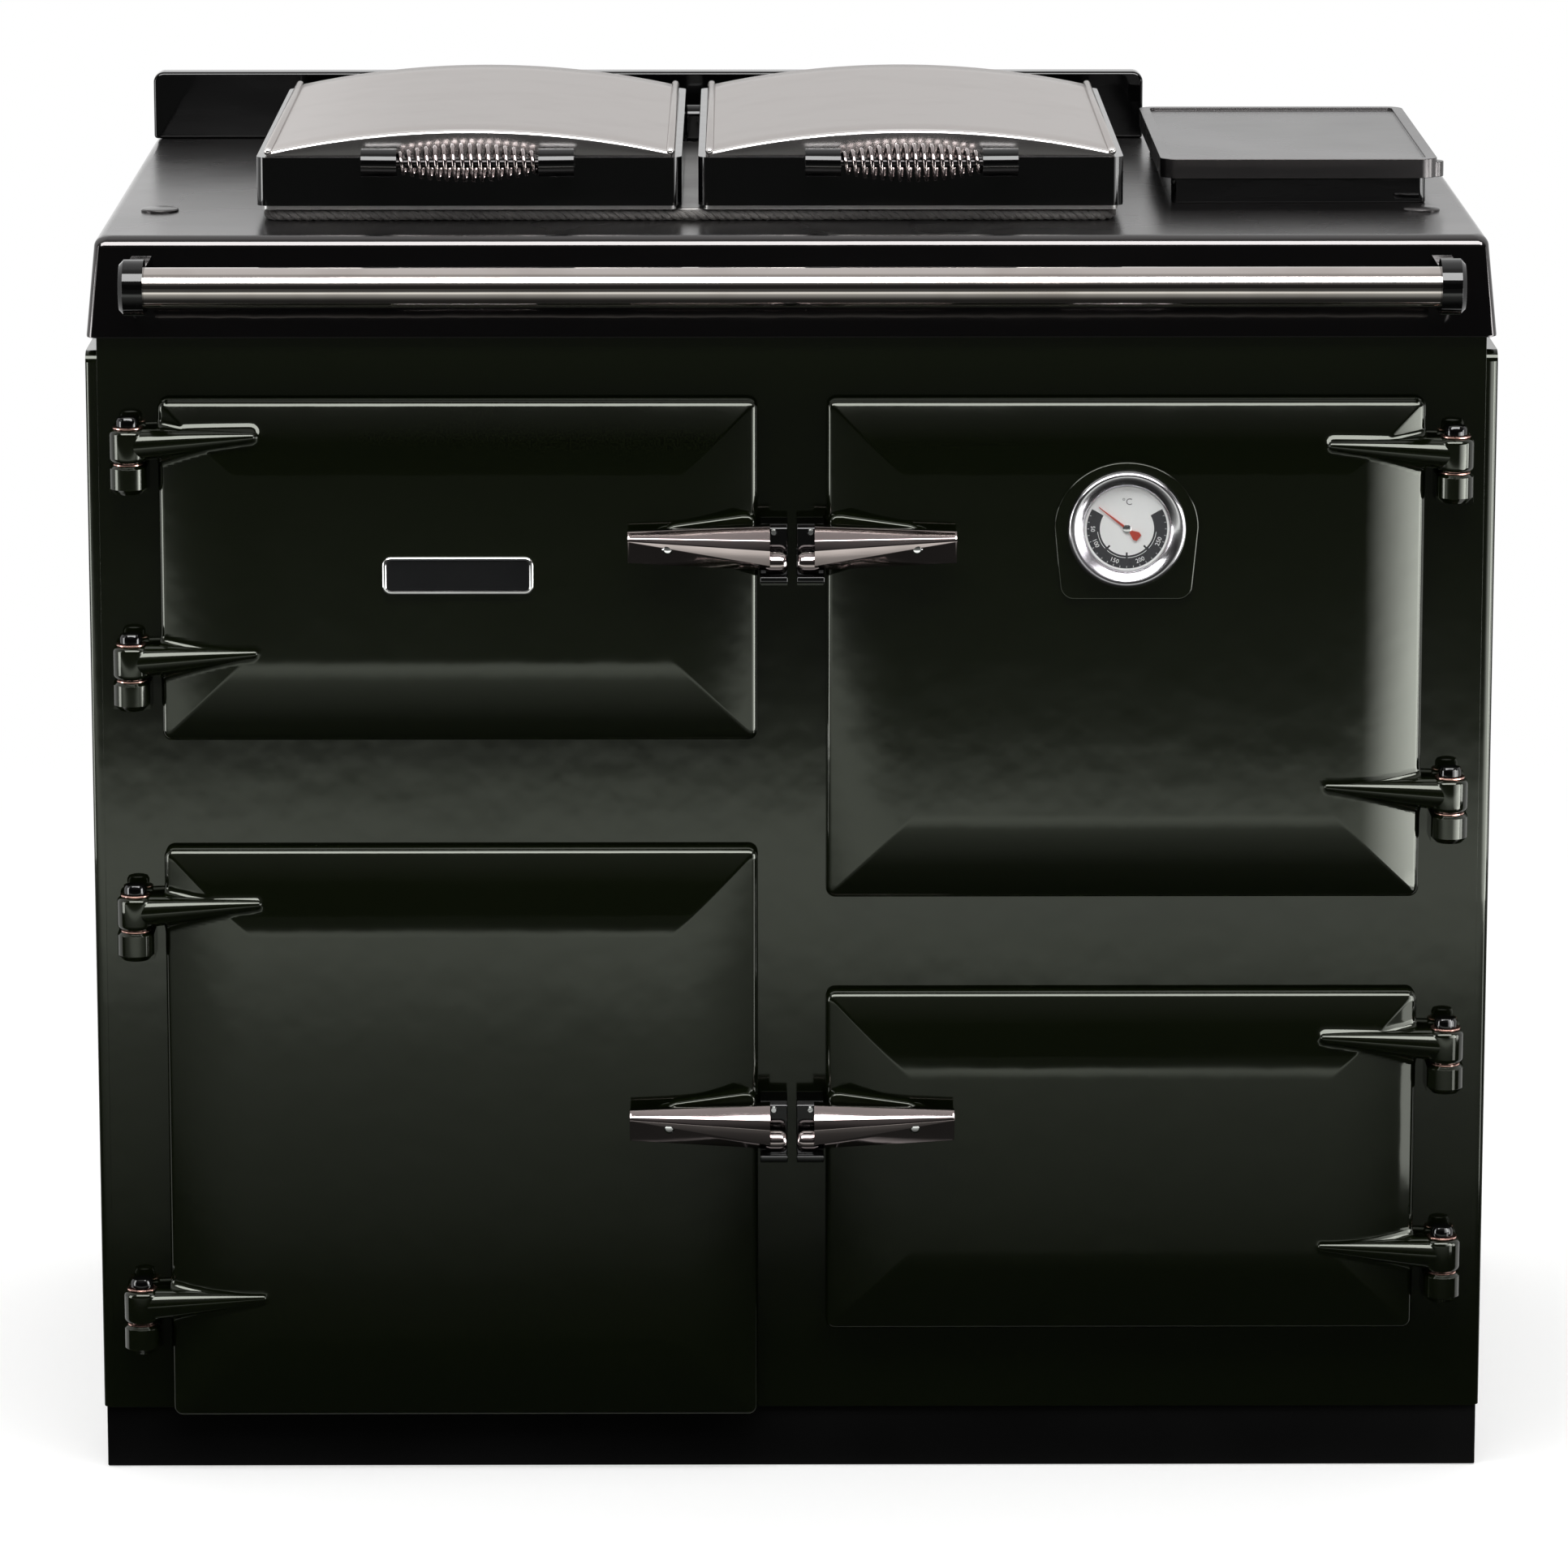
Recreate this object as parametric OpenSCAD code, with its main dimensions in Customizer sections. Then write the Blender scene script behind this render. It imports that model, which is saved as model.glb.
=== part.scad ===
// Cast iron range cooker with four oven doors and two domed hotplate lids.
// Millimetres. X runs along the front, Y from the front to the back, Z up.
// The origin is on the floor, under the middle of the whole cooker.
// Depths in the modules are counted from the face of the front plate: in front of it they are negative.

/* [Cabinet] */
// Width over the two side panels
body_w = 990; // [960:5:1040]
// Depth from the face of the front plate to the back panel
body_depth = 600; // [580:5:640]
// Height of the top plate's surface above the floor
top_z = 893; // [880:1:910]
// Height of the plinth
plinth_h = 45; // [42:1:52]
// How far the plinth stands back from the side panels
plinth_inset = 2; // [1:0.5:6]
// How far the plinth stands back from the front plate
plinth_recess = 3; // [1:1:20]
// Thickness of the plinth's sheet steel
sheet_t = 3; // [2:0.5:4]
// Width of the plinth's folded foot
plinth_foot_w = 40; // [25:5:80]
// Width of the side panels' folded edge, beside the front plate
side_edge = 8; // [6:1:12]
// Thickness of the side panels' sheet
side_sheet_t = 2; // [1.5:0.5:3]
// Width of the side panels' folded flanges
side_flange = 14; // [10:1:30]
// Gap between a side panel and the skirt above it
side_top_gap = 10; // [6:1:14]
// How far inside the front plate's end the side panels' upstand is
upstand_inset = 6; // [5:0.5:10]
// Thickness of the cast front plate
front_t = 12; // [10:1:16]
// Thickness of the rail behind the front plate that carries the top plate
top_rail_t = 12; // [8:1:16]
// How far that rail and the back panel's top stand in from the front plate's ends
top_rail_inset = 12; // [10:1:20]
// How far that rail reaches above the upper doors' apertures
top_rail_lap = 20; // [10:1:24]
// Thickness of the back panel
back_t = 3; // [2:0.5:4]
// Screws down each side of the back panel
screw_rows = 4; // [3:1:6]
// From the back panel's side edge to the screws
screw_inset = 12; // [10:1:16]
// From the back panel's lower and upper edge to the nearest screw
screw_end = 30; // [20:1:50]
// Diameter of the screws' shanks
screw_d = 4; // [3:0.1:4.2]
// Diameter of the screw holes
screw_hole_d = 4.4; // [4.3:0.1:5]
// Diameter of the screws' heads
screw_head_d = 10; // [8:0.5:12]
// Length of the screws behind the back panel
screw_len = 5; // [3:0.5:6]
// Vent slots in each group
vent_slots = 9; // [5:1:12]
// Distance from one vent slot to the next
vent_pitch = 18; // [12:1:24]
// Width of a vent slot
vent_w = 90; // [60:5:110]
// Height of a vent slot
vent_h = 6; // [4:0.5:8]
// Height of the lowest vent slot above the plinth
vent_low = 40; // [30:5:60]
// Distance from one group of vent slots to the next
vent_spread = 270; // [200:10:290]
// Shift of the vent slots to the right
vent_shift = 30; // [0:5:40]

/* [Top plate] */
// Height of the top plate's skirt
skirt_h = 70; // [60:1:76]
// Thickness of the cast top plate
top_t = 8; // [6:1:10]
// Thickness of the skirt
skirt_t = 5; // [4:0.5:7]
// How far the skirt's lower edge stands in front of the front plate
skirt_reach = 5; // [3:1:10]
// How far the skirt leans back over its height at the front
skirt_lean = 15; // [8:1:20]
// How far the skirt leans in over its height at each side
skirt_side_lean = 6; // [2:1:10]
// How far the skirt's lower edge stays inside the side panels' width
skirt_inset = 1; // [0.5:0.5:3]
// Rounding of the top plate's upper edge
top_edge_r = 8; // [4:1:12]
// Diameter of the plugs in the top plate
plug_d = 27; // [20:1:35]
// Height of a plug's cap
plug_h = 2.5; // [2:0.5:5]
// Distance of the plugs from the cooker's sides
plug_side_gap = 43; // [39:1:55]
// Depth of the plugs behind the front plate's face
plug_y = 142; // [120:1:160]
// Thickness of the splashback
splash_t = 18; // [12:1:22]
// Height of the splashback above the top plate
splash_h = 51.5; // [40:0.5:70]
// Distance from the splashback's right end to the middle
splash_right = 274; // [260:1:280]
// Distance from the splashback's left end to the left side
splash_left_inset = 7; // [6:1:20]
// Distance from the splashback's back to the back panel
splash_back_gap = 23; // [5:1:25]
// Rounding of the splashback's upper corners
splash_r = 8; // [4:1:15]

/* [Hotplate and lids] */
// Distance of the left lid from the cooker's left side
lid_left_gap = 115.95; // [112:0.05:120]
// Distance between the right lid and the flue cover
lid_flue_gap = 31.35; // [28:0.05:40]
// Depth of each lid from front to back
lid_depth = 418; // [400:1:425]
// Gap between the two lids
lid_gap = 11.7; // [11:0.1:16]
// Depth of the lids' front behind the front plate's face
lid_front_y = 83; // [75:1:95]
// Height of the lid frames' lower edge above the top plate
lid_lift = 11.5; // [11:0.5:14]
// Height of the lid frames
lid_frame_h = 34.5; // [30:0.5:38]
// Wall of the lid frames at the front and the sides
lid_wall = 11; // [9:1:14]
// Wall of the lid frames at the back, where the pin goes in
lid_back_wall = 18; // [16:1:22]
// Corner radius of the lid frames
lid_corner_r = 9; // [6:1:14]
// How far a dome stands in from the lid frame's edge
dome_inset = 7.5; // [6:0.5:9]
// Height of a dome's upright side above the lid frame
dome_side_h = 3.5; // [2:0.5:6]
// Rise of a dome's arch
dome_rise = 15.5; // [10:0.5:20]
// Thickness of a dome's polished sheet
dome_t = 2; // [1.5:0.5:3]
// Diameter of the rolled beads along a dome's sides
bead_d = 6; // [4:0.5:7]
// How far a lid's liner stands in from its frame's edge
liner_inset = 4; // [3:0.5:6]
// How far a lid's liner reaches below its frame
liner_drop = 3.1; // [2.6:0.1:4]
// Diameter of the rope seal round the hotplate
hot_rope_d = 8; // [7:0.1:8]
// Height of the hotplate's surface above the top plate
hotplate_rise = 8; // [6:0.5:8]
// Thickness of the hotplate
hotplate_t = 34; // [28:1:40]
// Width of the hotplate's hidden flange
hotplate_flange = 14; // [10:1:16]
// Clearance between the hotplate and the top plate's opening
hotplate_gap = 0.5; // [0.3:0.1:1]
// Diameter of the lid hinge pin
lid_pin_d = 9; // [8:0.5:10]
// Length of the lid hinge pin inside each lid
lid_pin_len = 60; // [40:1:100]
// Height of the lid hinge pin above the top plate
lid_pin_rise = 25; // [24:0.5:28]
// Height of the hinge block between the lids
hinge_block_h = 34; // [30:1:36]
// Depth of the hinge block from front to back
hinge_block_depth = 16; // [14:1:17]

/* [Lid handles] */
// Length of a coiled handle between its brackets
coil_len = 100; // [90:1:110]
// Distance of a coiled handle's axis in front of its lid
coil_reach = 22; // [20:0.5:26]
// Height of a coiled handle's axis above the top plate
coil_rise = 45; // [42:0.5:47]
// Outer diameter of a coiled handle at its ends
coil_end_d = 15; // [14.6:0.2:17]
// Outer diameter of a coiled handle in the middle
coil_mid_d = 28; // [22:0.5:30]
// Diameter of the coiled wire
coil_wire_d = 3; // [2.4:0.1:3.2]
// Number of curls in a coiled handle
coil_curls = 15; // [12:1:15]
// Length of each handle bracket along the handle
bracket_len = 25; // [20:1:30]
// Height of the handle brackets
bracket_h = 20; // [18:1:24]
// Diameter of the rod inside a coiled handle
coil_rod_d = 7; // [5:0.5:7.5]

/* [Flue] */
// Width of the flue cover
flue_w = 200; // [180:1:200]
// Depth of the flue cover from front to back
flue_depth = 315; // [280:1:320]
// Distance of the flue cover from the cooker's right side
flue_side_gap = 28; // [20:1:33]
// Depth of the flue cover's front behind the front plate's face
flue_y = 173; // [165:1:190]
// Height of the flue chamber's wall
flue_wall_h = 19; // [15:1:24]
// How far the flue chamber stands in from its cover's edge
flue_inset = 8; // [6:1:12]
// Thickness of the flue chamber's wall
flue_wall_t = 8; // [6:1:10]
// Thickness of the flue cover
flue_cover_t = 14; // [10:1:16]
// Width of the raised rim round the flue cover
flue_rim_w = 8; // [6:1:12]
// Height of that rim
flue_rim_h = 2; // [1:0.5:4]
// Corner radius of the flue cover
flue_r = 12; // [8:1:16]
// Outer diameter of the flue spigot at the back
spigot_d = 125; // [120:1:130]
// Wall of the flue spigot
spigot_wall = 4; // [3:0.5:5]
// How far the flue spigot stands out of the back panel
spigot_reach = 50; // [40:1:60]
// Height of the flue spigot's axis
spigot_z = 700; // [660:1:720]
// Size of the flue spigot's square flange
spigot_flange = 170; // [160:1:190]
// Thickness of the flue spigot's flange
spigot_flange_t = 5; // [4:1:8]

/* [Towel rail] */
// Diameter of the towel rail
rail_d = 28; // [22:1:32]
// Height of the towel rail's axis
rail_z = 867; // [860:1:870]
// Distance of the towel rail's axis in front of the front plate
rail_reach = 60; // [50:1:65]
// Distance of the rail brackets' inner faces from the cooker's sides
rail_side_gap = 47; // [40:1:65]
// Width of a rail bracket
rail_bracket_w = 17; // [14:1:22]
// Height of a rail bracket's round end
rail_bracket_d = 39; // [36:1:44]
// Depth of the sockets that hold the rail
rail_socket = 5; // [3:1:8]

/* [Doors] */
// Distance of the doors' free edges from the middle
door_inner = 24; // [23:0.5:28]
// Distance of the doors' outer edges from the cooker's sides
door_side_gap = 50.5; // [49:0.5:60]
// Height of the upper left door's lower edge
upper_left_z = 536.8; // [530:0.1:550]
// Height of the lower left door's lower edge
lower_left_z = 41.4; // [40:0.1:60]
// Height of the lower left door
lower_left_h = 417.9; // [400:0.1:430]
// Height of the upper right door's lower edge
upper_right_z = 422.8; // [415:0.1:440]
// Height of the lower right door's lower edge
lower_right_z = 105.6; // [100:0.1:120]
// Height of the lower right door
lower_right_h = 249; // [240:0.1:260]
// Height of the upper edge of both upper doors
upper_doors_top = 781; // [775:0.1:790]
// Gap between a door's rim and the front plate
door_gap = 2; // [1.5:0.1:3]
// Distance of a door's edge in front of the front plate
door_edge_front = 14; // [13:0.5:16]
// Rise of a door's pillow above its edge
door_crown = 11; // [7:0.5:12]
// Width of the sloping border round a door's pillow
door_slope_w = 62; // [50:1:64]
// Rounding of a door's front edge
door_edge_r = 6; // [4:0.5:8]
// Corner radius of a door
door_corner_r = 7; // [6:0.5:12]
// Width of a door's rim at the back
door_rim_w = 12; // [10:0.5:14]
// Depth of the pocket behind a door's rim
door_pocket = 8.3; // [7.9:0.1:8.6]
// How far an aperture's edge stands in from its door's edge
aperture_inset = 30; // [29:0.5:32]
// Rounding of an aperture's corners
aperture_r = 5; // [3:1:8]
// How far a door's plug stands in from the aperture's edge
plug_inset = 6; // [5:0.5:8]
// How far a door's plug reaches into the aperture
plug_reach = 8; // [4:1:10]
// Diameter of a door's rope seal
door_rope_d = 7.2; // [6.6:0.1:7.3]
// How far the rope seal's centre line stands in from the door's edge
door_rope_inset = 24; // [23:0.5:24.5]

/* [Door hinges] */
// Distance of the hinge axes from the doors' outer edges
hinge_reach = 20.5; // [17.5:0.5:21.5]
// Distance of the hinge axes in front of the front plate
hinge_y = 14.5; // [14:0.5:16]
// Diameter of a hinge's knuckle and lug
knuckle_d = 26; // [24:0.5:27]
// Height of a knuckle
knuckle_h = 24; // [20:0.5:26]
// Height of a lug
lug_h = 20.5; // [16:0.5:22]
// Rounding of a lug's lower edge
lug_round = 4; // [2:0.5:5]
// Height of the washer between a lug and its knuckle
washer_h = 1.2; // [1:0.1:2]
// Diameter of a hinge pin
pin_d = 10; // [9:0.5:12]
// Height of a pin's cap
pin_cap_h = 7.5; // [6:0.5:10]
// Diameter of a pin's cap
pin_cap_d = 16; // [14:0.5:18]
// Length of a hinge horn from the hinge axis to its tip
horn_len = 90; // [80:1:95]
// Diameter of a horn at the knuckle
horn_root_d = 18; // [16:0.5:19]
// Diameter of a horn at its tip
horn_tip_d = 5; // [4:0.5:8]
// Distance from the upper left door's top to its upper hinge
upper_left_hinge_drop = 32.2; // [30:0.1:40]
// Distance from the upper left door's bottom to its lower hinge
upper_left_hinge_rise = 57.6; // [52:0.1:75]
// Distance from the lower left door's top to its upper hinge
lower_left_hinge_drop = 45.5; // [35:0.1:50]
// Distance from the lower left door's bottom to its lower hinge
lower_left_hinge_rise = 83.8; // [78:0.1:105]
// Distance from the upper right door's top to its upper hinge
upper_right_hinge_drop = 39; // [30:0.1:45]
// Distance from the upper right door's bottom to its lower hinge
upper_right_hinge_rise = 75.2; // [70:0.1:90]
// Distance from the lower right door's top to its upper hinge
lower_right_hinge_drop = 39; // [30:0.1:42]
// Distance from the lower right door's bottom to its lower hinge
lower_right_hinge_rise = 56.6; // [52:0.1:70]

/* [Door handles] */
// Height of the upper pair of handles
upper_handle_z = 681; // [675:1:700]
// Height of the lower pair of handles
lower_handle_z = 264.5; // [258:0.5:285]
// Distance of a handle's inner end from the middle
handle_inner = 3.5; // [3:0.5:6]
// Distance of a handle's tip from the middle
handle_tip = 115; // [108:1:120]
// Distance of a handle's pivot from the middle
handle_pivot = 87; // [80:1:92]
// Diameter of a handle's pivot stud
stud_d = 8; // [6:0.5:10]
// Height of a handle at its tip
handle_tip_h = 23; // [18:1:26]
// Height of a handle near its inner end
handle_root_h = 31; // [26:1:34]
// Distance of a handle's back in front of the front plate
handle_back = 34.5; // [34:0.5:38]
// Thickness of a handle near its inner end
handle_root_t = 22; // [18:1:24]
// Thickness of a handle at its tip
handle_tip_t = 12; // [10:1:16]
// Diameter of the roller at a handle's inner end
roller_d = 20.6; // [18.6:0.4:21]
// Width of that roller
roller_w = 12; // [8:1:14]
// Drop of the roller's axis below the handle's middle
roller_drop = 7.6; // [6:0.2:8]
// Height of a catch's post above the handle's middle
catch_h = 14; // [10:1:18]
// Clearance between a roller and its catch's lip
catch_gap = 0.4; // [0.3:0.1:1]
// Distance from a catch to the middle
catch_inner = 3.2; // [3:0.1:6]
// Distance from a catch to the doors' free edges
catch_door_gap = 1.5; // [1.2:0.1:3]

/* [Thermometer and plate] */
// Height of the thermometer's middle
dial_z = 692; // [680:0.5:700]
// Outer diameter of the thermometer's case
case_d = 83; // [76:1:88]
// Diameter of the dial
dial_d = 60; // [54:1:62]
// Thickness of the dial
dial_t = 2; // [1.5:0.5:3]
// How far the case stands out of its boss
case_reach = 10; // [9:1:14]
// Half width and round top of the thermometer's boss
boss_r = 53; // [47:1:54]
// Drop of the boss's lower edge below the thermometer's middle
boss_drop = 51.5; // [50:0.5:60]
// Rise of the boss above the door's face
boss_rise = 3; // [2:0.5:5]
// Diameter of the thermometer's stem
stem_d = 12; // [8:1:14]
// How far the stem reaches behind the front plate's face
stem_reach = 20; // [16:1:30]
// Diameter of the pointer's shaft
pointer_shaft_d = 3; // [2:0.5:4]
// Length of the pointer from the shaft to its tip
pointer_len = 25; // [20:1:26]
// Width of the plate on the upper left door
badge_w = 106; // [90:1:120]
// Height of that plate
badge_h = 27; // [20:1:34]
// Thickness of that plate
badge_t = 3; // [2:0.5:5]
// Height of that plate's middle
badge_z = 658; // [650:1:672]

/* [Ovens] */
// How far an oven's cavity stands in from its aperture
oven_inset = 4; // [3:0.5:6]
// Wall of the cast ovens
oven_wall = 5; // [4:0.5:7]
// Depth of the ovens' cavities
oven_depth = 440; // [400:5:460]
// Width of an oven's front flange
oven_flange_w = 12; // [10:1:14]
// Thickness of an oven's front flange
oven_flange_t = 6; // [5:1:8]
// Width of the shelf runners
runner_w = 9; // [7:1:12]
// Thickness of the shelf runners
runner_t = 5; // [4:1:7]
// Diameter of a shelf's frame rod
shelf_rod_d = 7; // [6:0.5:8]
// Diameter of a shelf's bars
shelf_bar_d = 4.4; // [4:0.2:5]
// Number of bars in a shelf
shelf_bars = 13; // [9:2:17]
// Side clearance of a shelf
shelf_gap = 2; // [1:0.5:4]
// Depth of a shelf from front to back
shelf_depth = 400; // [360:5:400]
// Height of the main oven's shelf above the cavity's floor
main_shelf_rise = 130; // [100:1:160]
// Height of the lower oven's shelf above the cavity's floor
lower_shelf_rise = 80; // [60:1:100]

/* [Boiler and controls] */
// Width of the boiler
boiler_w = 400; // [360:5:410]
// Distance of the boiler's right side from the middle, to the left
boiler_x = 34; // [30:1:50]
// Depth of the boiler's front behind the front plate's face
boiler_y = 175; // [165:5:190]
// Depth of the boiler from front to back
boiler_depth = 370; // [340:5:385]
// Height of the boiler
boiler_h = 510; // [480:5:520]
// Wall of the boiler
boiler_wall = 12; // [8:1:16]
// Height of the burner's axis
burner_z = 240; // [220:1:260]
// Diameter of the burner's flange
burner_flange_d = 150; // [130:1:170]
// Diameter of the burner's fan housing
fan_d = 130; // [110:1:140]
// Width of the burner's fan housing
fan_w = 70; // [60:1:80]
// Diameter of the burner's motor
motor_d = 90; // [80:1:100]
// Length of the burner's motor
motor_len = 90; // [80:1:110]
// Distance of the burner's axis from the middle, to the left
burner_x = 234; // [220:1:250]
// Diameter of the two pipe sockets
socket_d = 40; // [36:1:46]
// Diameter of the sockets' bores
socket_bore_d = 28; // [22:1:30]
// Depth of the sockets' bores
socket_depth = 30; // [20:1:40]
// Height of the lower pipe socket
return_z = 130; // [110:1:150]
// Height of the upper pipe socket
flow_z = 480; // [440:1:500]
// Distance of the pipe sockets from the middle, to the left
socket_x = 380; // [340:1:400]
// Depth of the control tray
tray_depth = 46; // [42:1:60]
// Wall of the control tray
tray_wall = 2; // [1.5:0.5:4]
// Thickness of the control tray's fascia
fascia_t = 4; // [3:0.5:6]
// Diameter of a control knob's skirt
knob_d = 48; // [40:1:54]
// Height of a control knob
knob_h = 18; // [14:1:20]
// Diameter of a knob's shaft
knob_shaft_d = 8; // [6:0.5:10]
// Distance of the oven knob from the middle, to the left
oven_knob_x = 165; // [140:1:190]
// Distance of the boiler knob from the middle, to the left
boiler_knob_x = 303; // [280:1:330]

/* [Fits] */
// Radial clearance of every turning fit
run_gap = 0.06; // [0.04:0.01:0.09]
// Clearance between pieces that pass each other
free_gap = 0.3; // [0.25:0.05:0.4]

/* [Hidden] */
$fn = 48;

// Colours
enamel = [0.10, 0.12, 0.09];
black = [0.05, 0.05, 0.05];
chrome = [0.78, 0.77, 0.76];
iron = [0.32, 0.31, 0.30];
steel = [0.62, 0.62, 0.62];
rope = [0.36, 0.34, 0.31];
wool = [0.80, 0.78, 0.70];

// Levels and depths that follow from the sizes above
front_most = rail_reach + max(rail_d, rail_bracket_d) / 2;
front_face_y = front_most - (front_most + body_depth + spigot_reach) / 2;
skirt_z = top_z - skirt_h;
under_top_z = top_z - top_t;
side_top_z = skirt_z - side_top_gap;
front_half = body_w / 2 - side_edge;
door_w = body_w / 2 - door_side_gap - door_inner;
hinge_x = door_inner + door_w + hinge_reach;
rail_half = body_w / 2 - rail_side_gap;
plug_x = body_w / 2 - plug_side_gap;
flue_x = body_w / 2 - flue_side_gap - flue_w;
lid_w = (body_w - lid_left_gap - lid_gap - lid_flue_gap - flue_w - flue_side_gap) / 2;
lid_pair_x = body_w / 2 - lid_left_gap - lid_w - lid_gap / 2;
skirt_half = body_w / 2 - skirt_inset;
back_y = body_depth;
splash_y = body_depth - splash_back_gap - splash_t;
door_front = door_edge_front + door_crown;
pocket_floor = door_gap + door_pocket;
lid_z = top_z + lid_lift;
lid_back_y = lid_front_y + lid_depth;
lid_pin_z = top_z + lid_pin_rise;
lid_pin_y = lid_back_y - lid_back_wall / 2;
frame_top_z = lid_z + lid_frame_h;
left_lid_x = -lid_pair_x - lid_gap / 2 - lid_w / 2;
right_lid_x = -lid_pair_x + lid_gap / 2 + lid_w / 2;
rope_x0 = left_lid_x - lid_w / 2 + liner_inset + hot_rope_d / 2;
rope_x1 = right_lid_x + lid_w / 2 - liner_inset - hot_rope_d / 2;
rope_y0 = lid_front_y + liner_inset + hot_rope_d / 2;
rope_y1 = lid_back_y - lid_back_wall - hot_rope_d / 2;
hotplate_margin = hot_rope_d / 2 + 3;
hotplate_r = 14;
coil_y = lid_front_y - coil_reach;
coil_z = top_z + coil_rise;
hinge_pitch = knuckle_h / 2 + free_gap;

// Each door: side (-1 left, 1 right), lower edge, height, lower and upper hinge height, handle height
upper_left = [-1, upper_left_z, upper_doors_top - upper_left_z,
    upper_left_z + upper_left_hinge_rise, upper_doors_top - upper_left_hinge_drop, upper_handle_z];
lower_left = [-1, lower_left_z, lower_left_h,
    lower_left_z + lower_left_hinge_rise, lower_left_z + lower_left_h - lower_left_hinge_drop, lower_handle_z];
upper_right = [1, upper_right_z, upper_doors_top - upper_right_z,
    upper_right_z + upper_right_hinge_rise, upper_doors_top - upper_right_hinge_drop, upper_handle_z];
lower_right = [1, lower_right_z, lower_right_h,
    lower_right_z + lower_right_hinge_rise, lower_right_z + lower_right_h - lower_right_hinge_drop,
    lower_handle_z];
doors = [upper_left, lower_left, upper_right, lower_right];

// Oven cavities: left edge, floor, width and height
function cavity(door) = [door_inner + aperture_inset + oven_inset, door[1] + aperture_inset + oven_inset,
    door_w - 2 * (aperture_inset + oven_inset), door[2] - 2 * (aperture_inset + oven_inset)];

// ---------- Shared shapes ----------

// Moves depths counted from the front plate's face into the cooker's frame
module in_cabinet() {
    translate([0, front_face_y, 0]) children();
}

// Draws the right-hand piece, or its mirror image on the left
module on_side(side) {
    if (side < 0) mirror([1, 0, 0]) children();
    else children();
}

// Extrudes an outline drawn in X and Z, from depth y0 to y1
module upright(y0, y1) {
    translate([0, y1, 0]) rotate([90, 0, 0]) linear_extrude(y1 - y0) children();
}

// Extrudes an outline drawn in Y and Z, from x0 to x1
module across(x0, x1) {
    translate([x0, 0, 0]) rotate([90, 0, 90]) linear_extrude(x1 - x0) children();
}

// Round bars along X and Y
module bar_x(x0, x1, y, z, d) {
    translate([x0, y, z]) rotate([0, 90, 0]) cylinder(h = x1 - x0, d = d);
}
module bar_y(x, y0, y1, z, d) {
    translate([x, y1, z]) rotate([90, 0, 0]) cylinder(h = y1 - y0, d = d);
}

// Rectangle with rounded corners, its lower left corner at the origin
module rounded(size, r) {
    translate([r, 0]) square([size.x - 2 * r, size.y]);
    translate([0, r]) square([size.x, size.y - 2 * r]);
    for (x = [r, size.x - r], y = [r, size.y - r]) translate([x, y]) circle(r = r);
}

// Closed loop of round rope, its centre line on a rounded rectangle at the origin
module rope_loop(size, r, d) {
    for (y = [0, size.y]) translate([r, y, 0]) rotate([0, 90, 0]) cylinder(h = size.x - 2 * r, d = d);
    for (x = [0, size.x]) translate([x, r, 0]) rotate([-90, 0, 0]) cylinder(h = size.y - 2 * r, d = d);
    for (c = [[r, r, 180], [size.x - r, r, 270], [size.x - r, size.y - r, 0], [r, size.y - r, 90]])
        translate([c[0], c[1], 0]) rotate([0, 0, c[2]]) rotate_extrude(angle = 90)
            translate([r, 0]) circle(d = d);
}

function arc(cx, cy, r, from, to, steps) =
    [for (i = [0 : steps]) let (a = from + (to - from) * i / steps) [cx + r * cos(a), cy + r * sin(a)]];

// ---------- Cabinet ----------

module plinth() {
    half = body_w / 2 - plinth_inset;
    depth = body_depth - plinth_recess - back_t;
    color(black) in_cabinet() translate([-half, plinth_recess, 0]) difference() {
        cube([2 * half, depth, plinth_h]);
        translate([sheet_t, sheet_t, sheet_t])
            cube([2 * (half - sheet_t), depth - 2 * sheet_t, plinth_h - 2 * sheet_t]);
        translate([plinth_foot_w, plinth_foot_w, -1])
            cube([2 * (half - plinth_foot_w), depth - 2 * plinth_foot_w, sheet_t + 2]);
    }
}

module aperture_outline(door) {
    translate([door_inner + aperture_inset, door[1] + aperture_inset])
        rounded([door_w - 2 * aperture_inset, door[2] - 2 * aperture_inset], aperture_r);
}

module front_plate() {
    rail_low = upper_doors_top - aperture_inset + top_rail_lap;
    rail_front = max(front_t, skirt_lean - skirt_reach + skirt_t + 1);
    rail_half_w = front_half - top_rail_inset;
    color(enamel) in_cabinet() difference() {
        union() {
            translate([-front_half, 0, plinth_h]) cube([2 * front_half, front_t, skirt_z - plinth_h]);
            translate([-rail_half_w, front_t - 1, rail_low])
                cube([2 * rail_half_w, rail_front + top_rail_t - front_t + 1, skirt_z - rail_low - 2]);
            translate([-rail_half_w, rail_front, rail_low])
                cube([2 * rail_half_w, top_rail_t, under_top_z - rail_low]);
        }
        for (door = doors) on_side(door[0]) upright(-1, front_t + 1) aperture_outline(door);
    }
}

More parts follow.
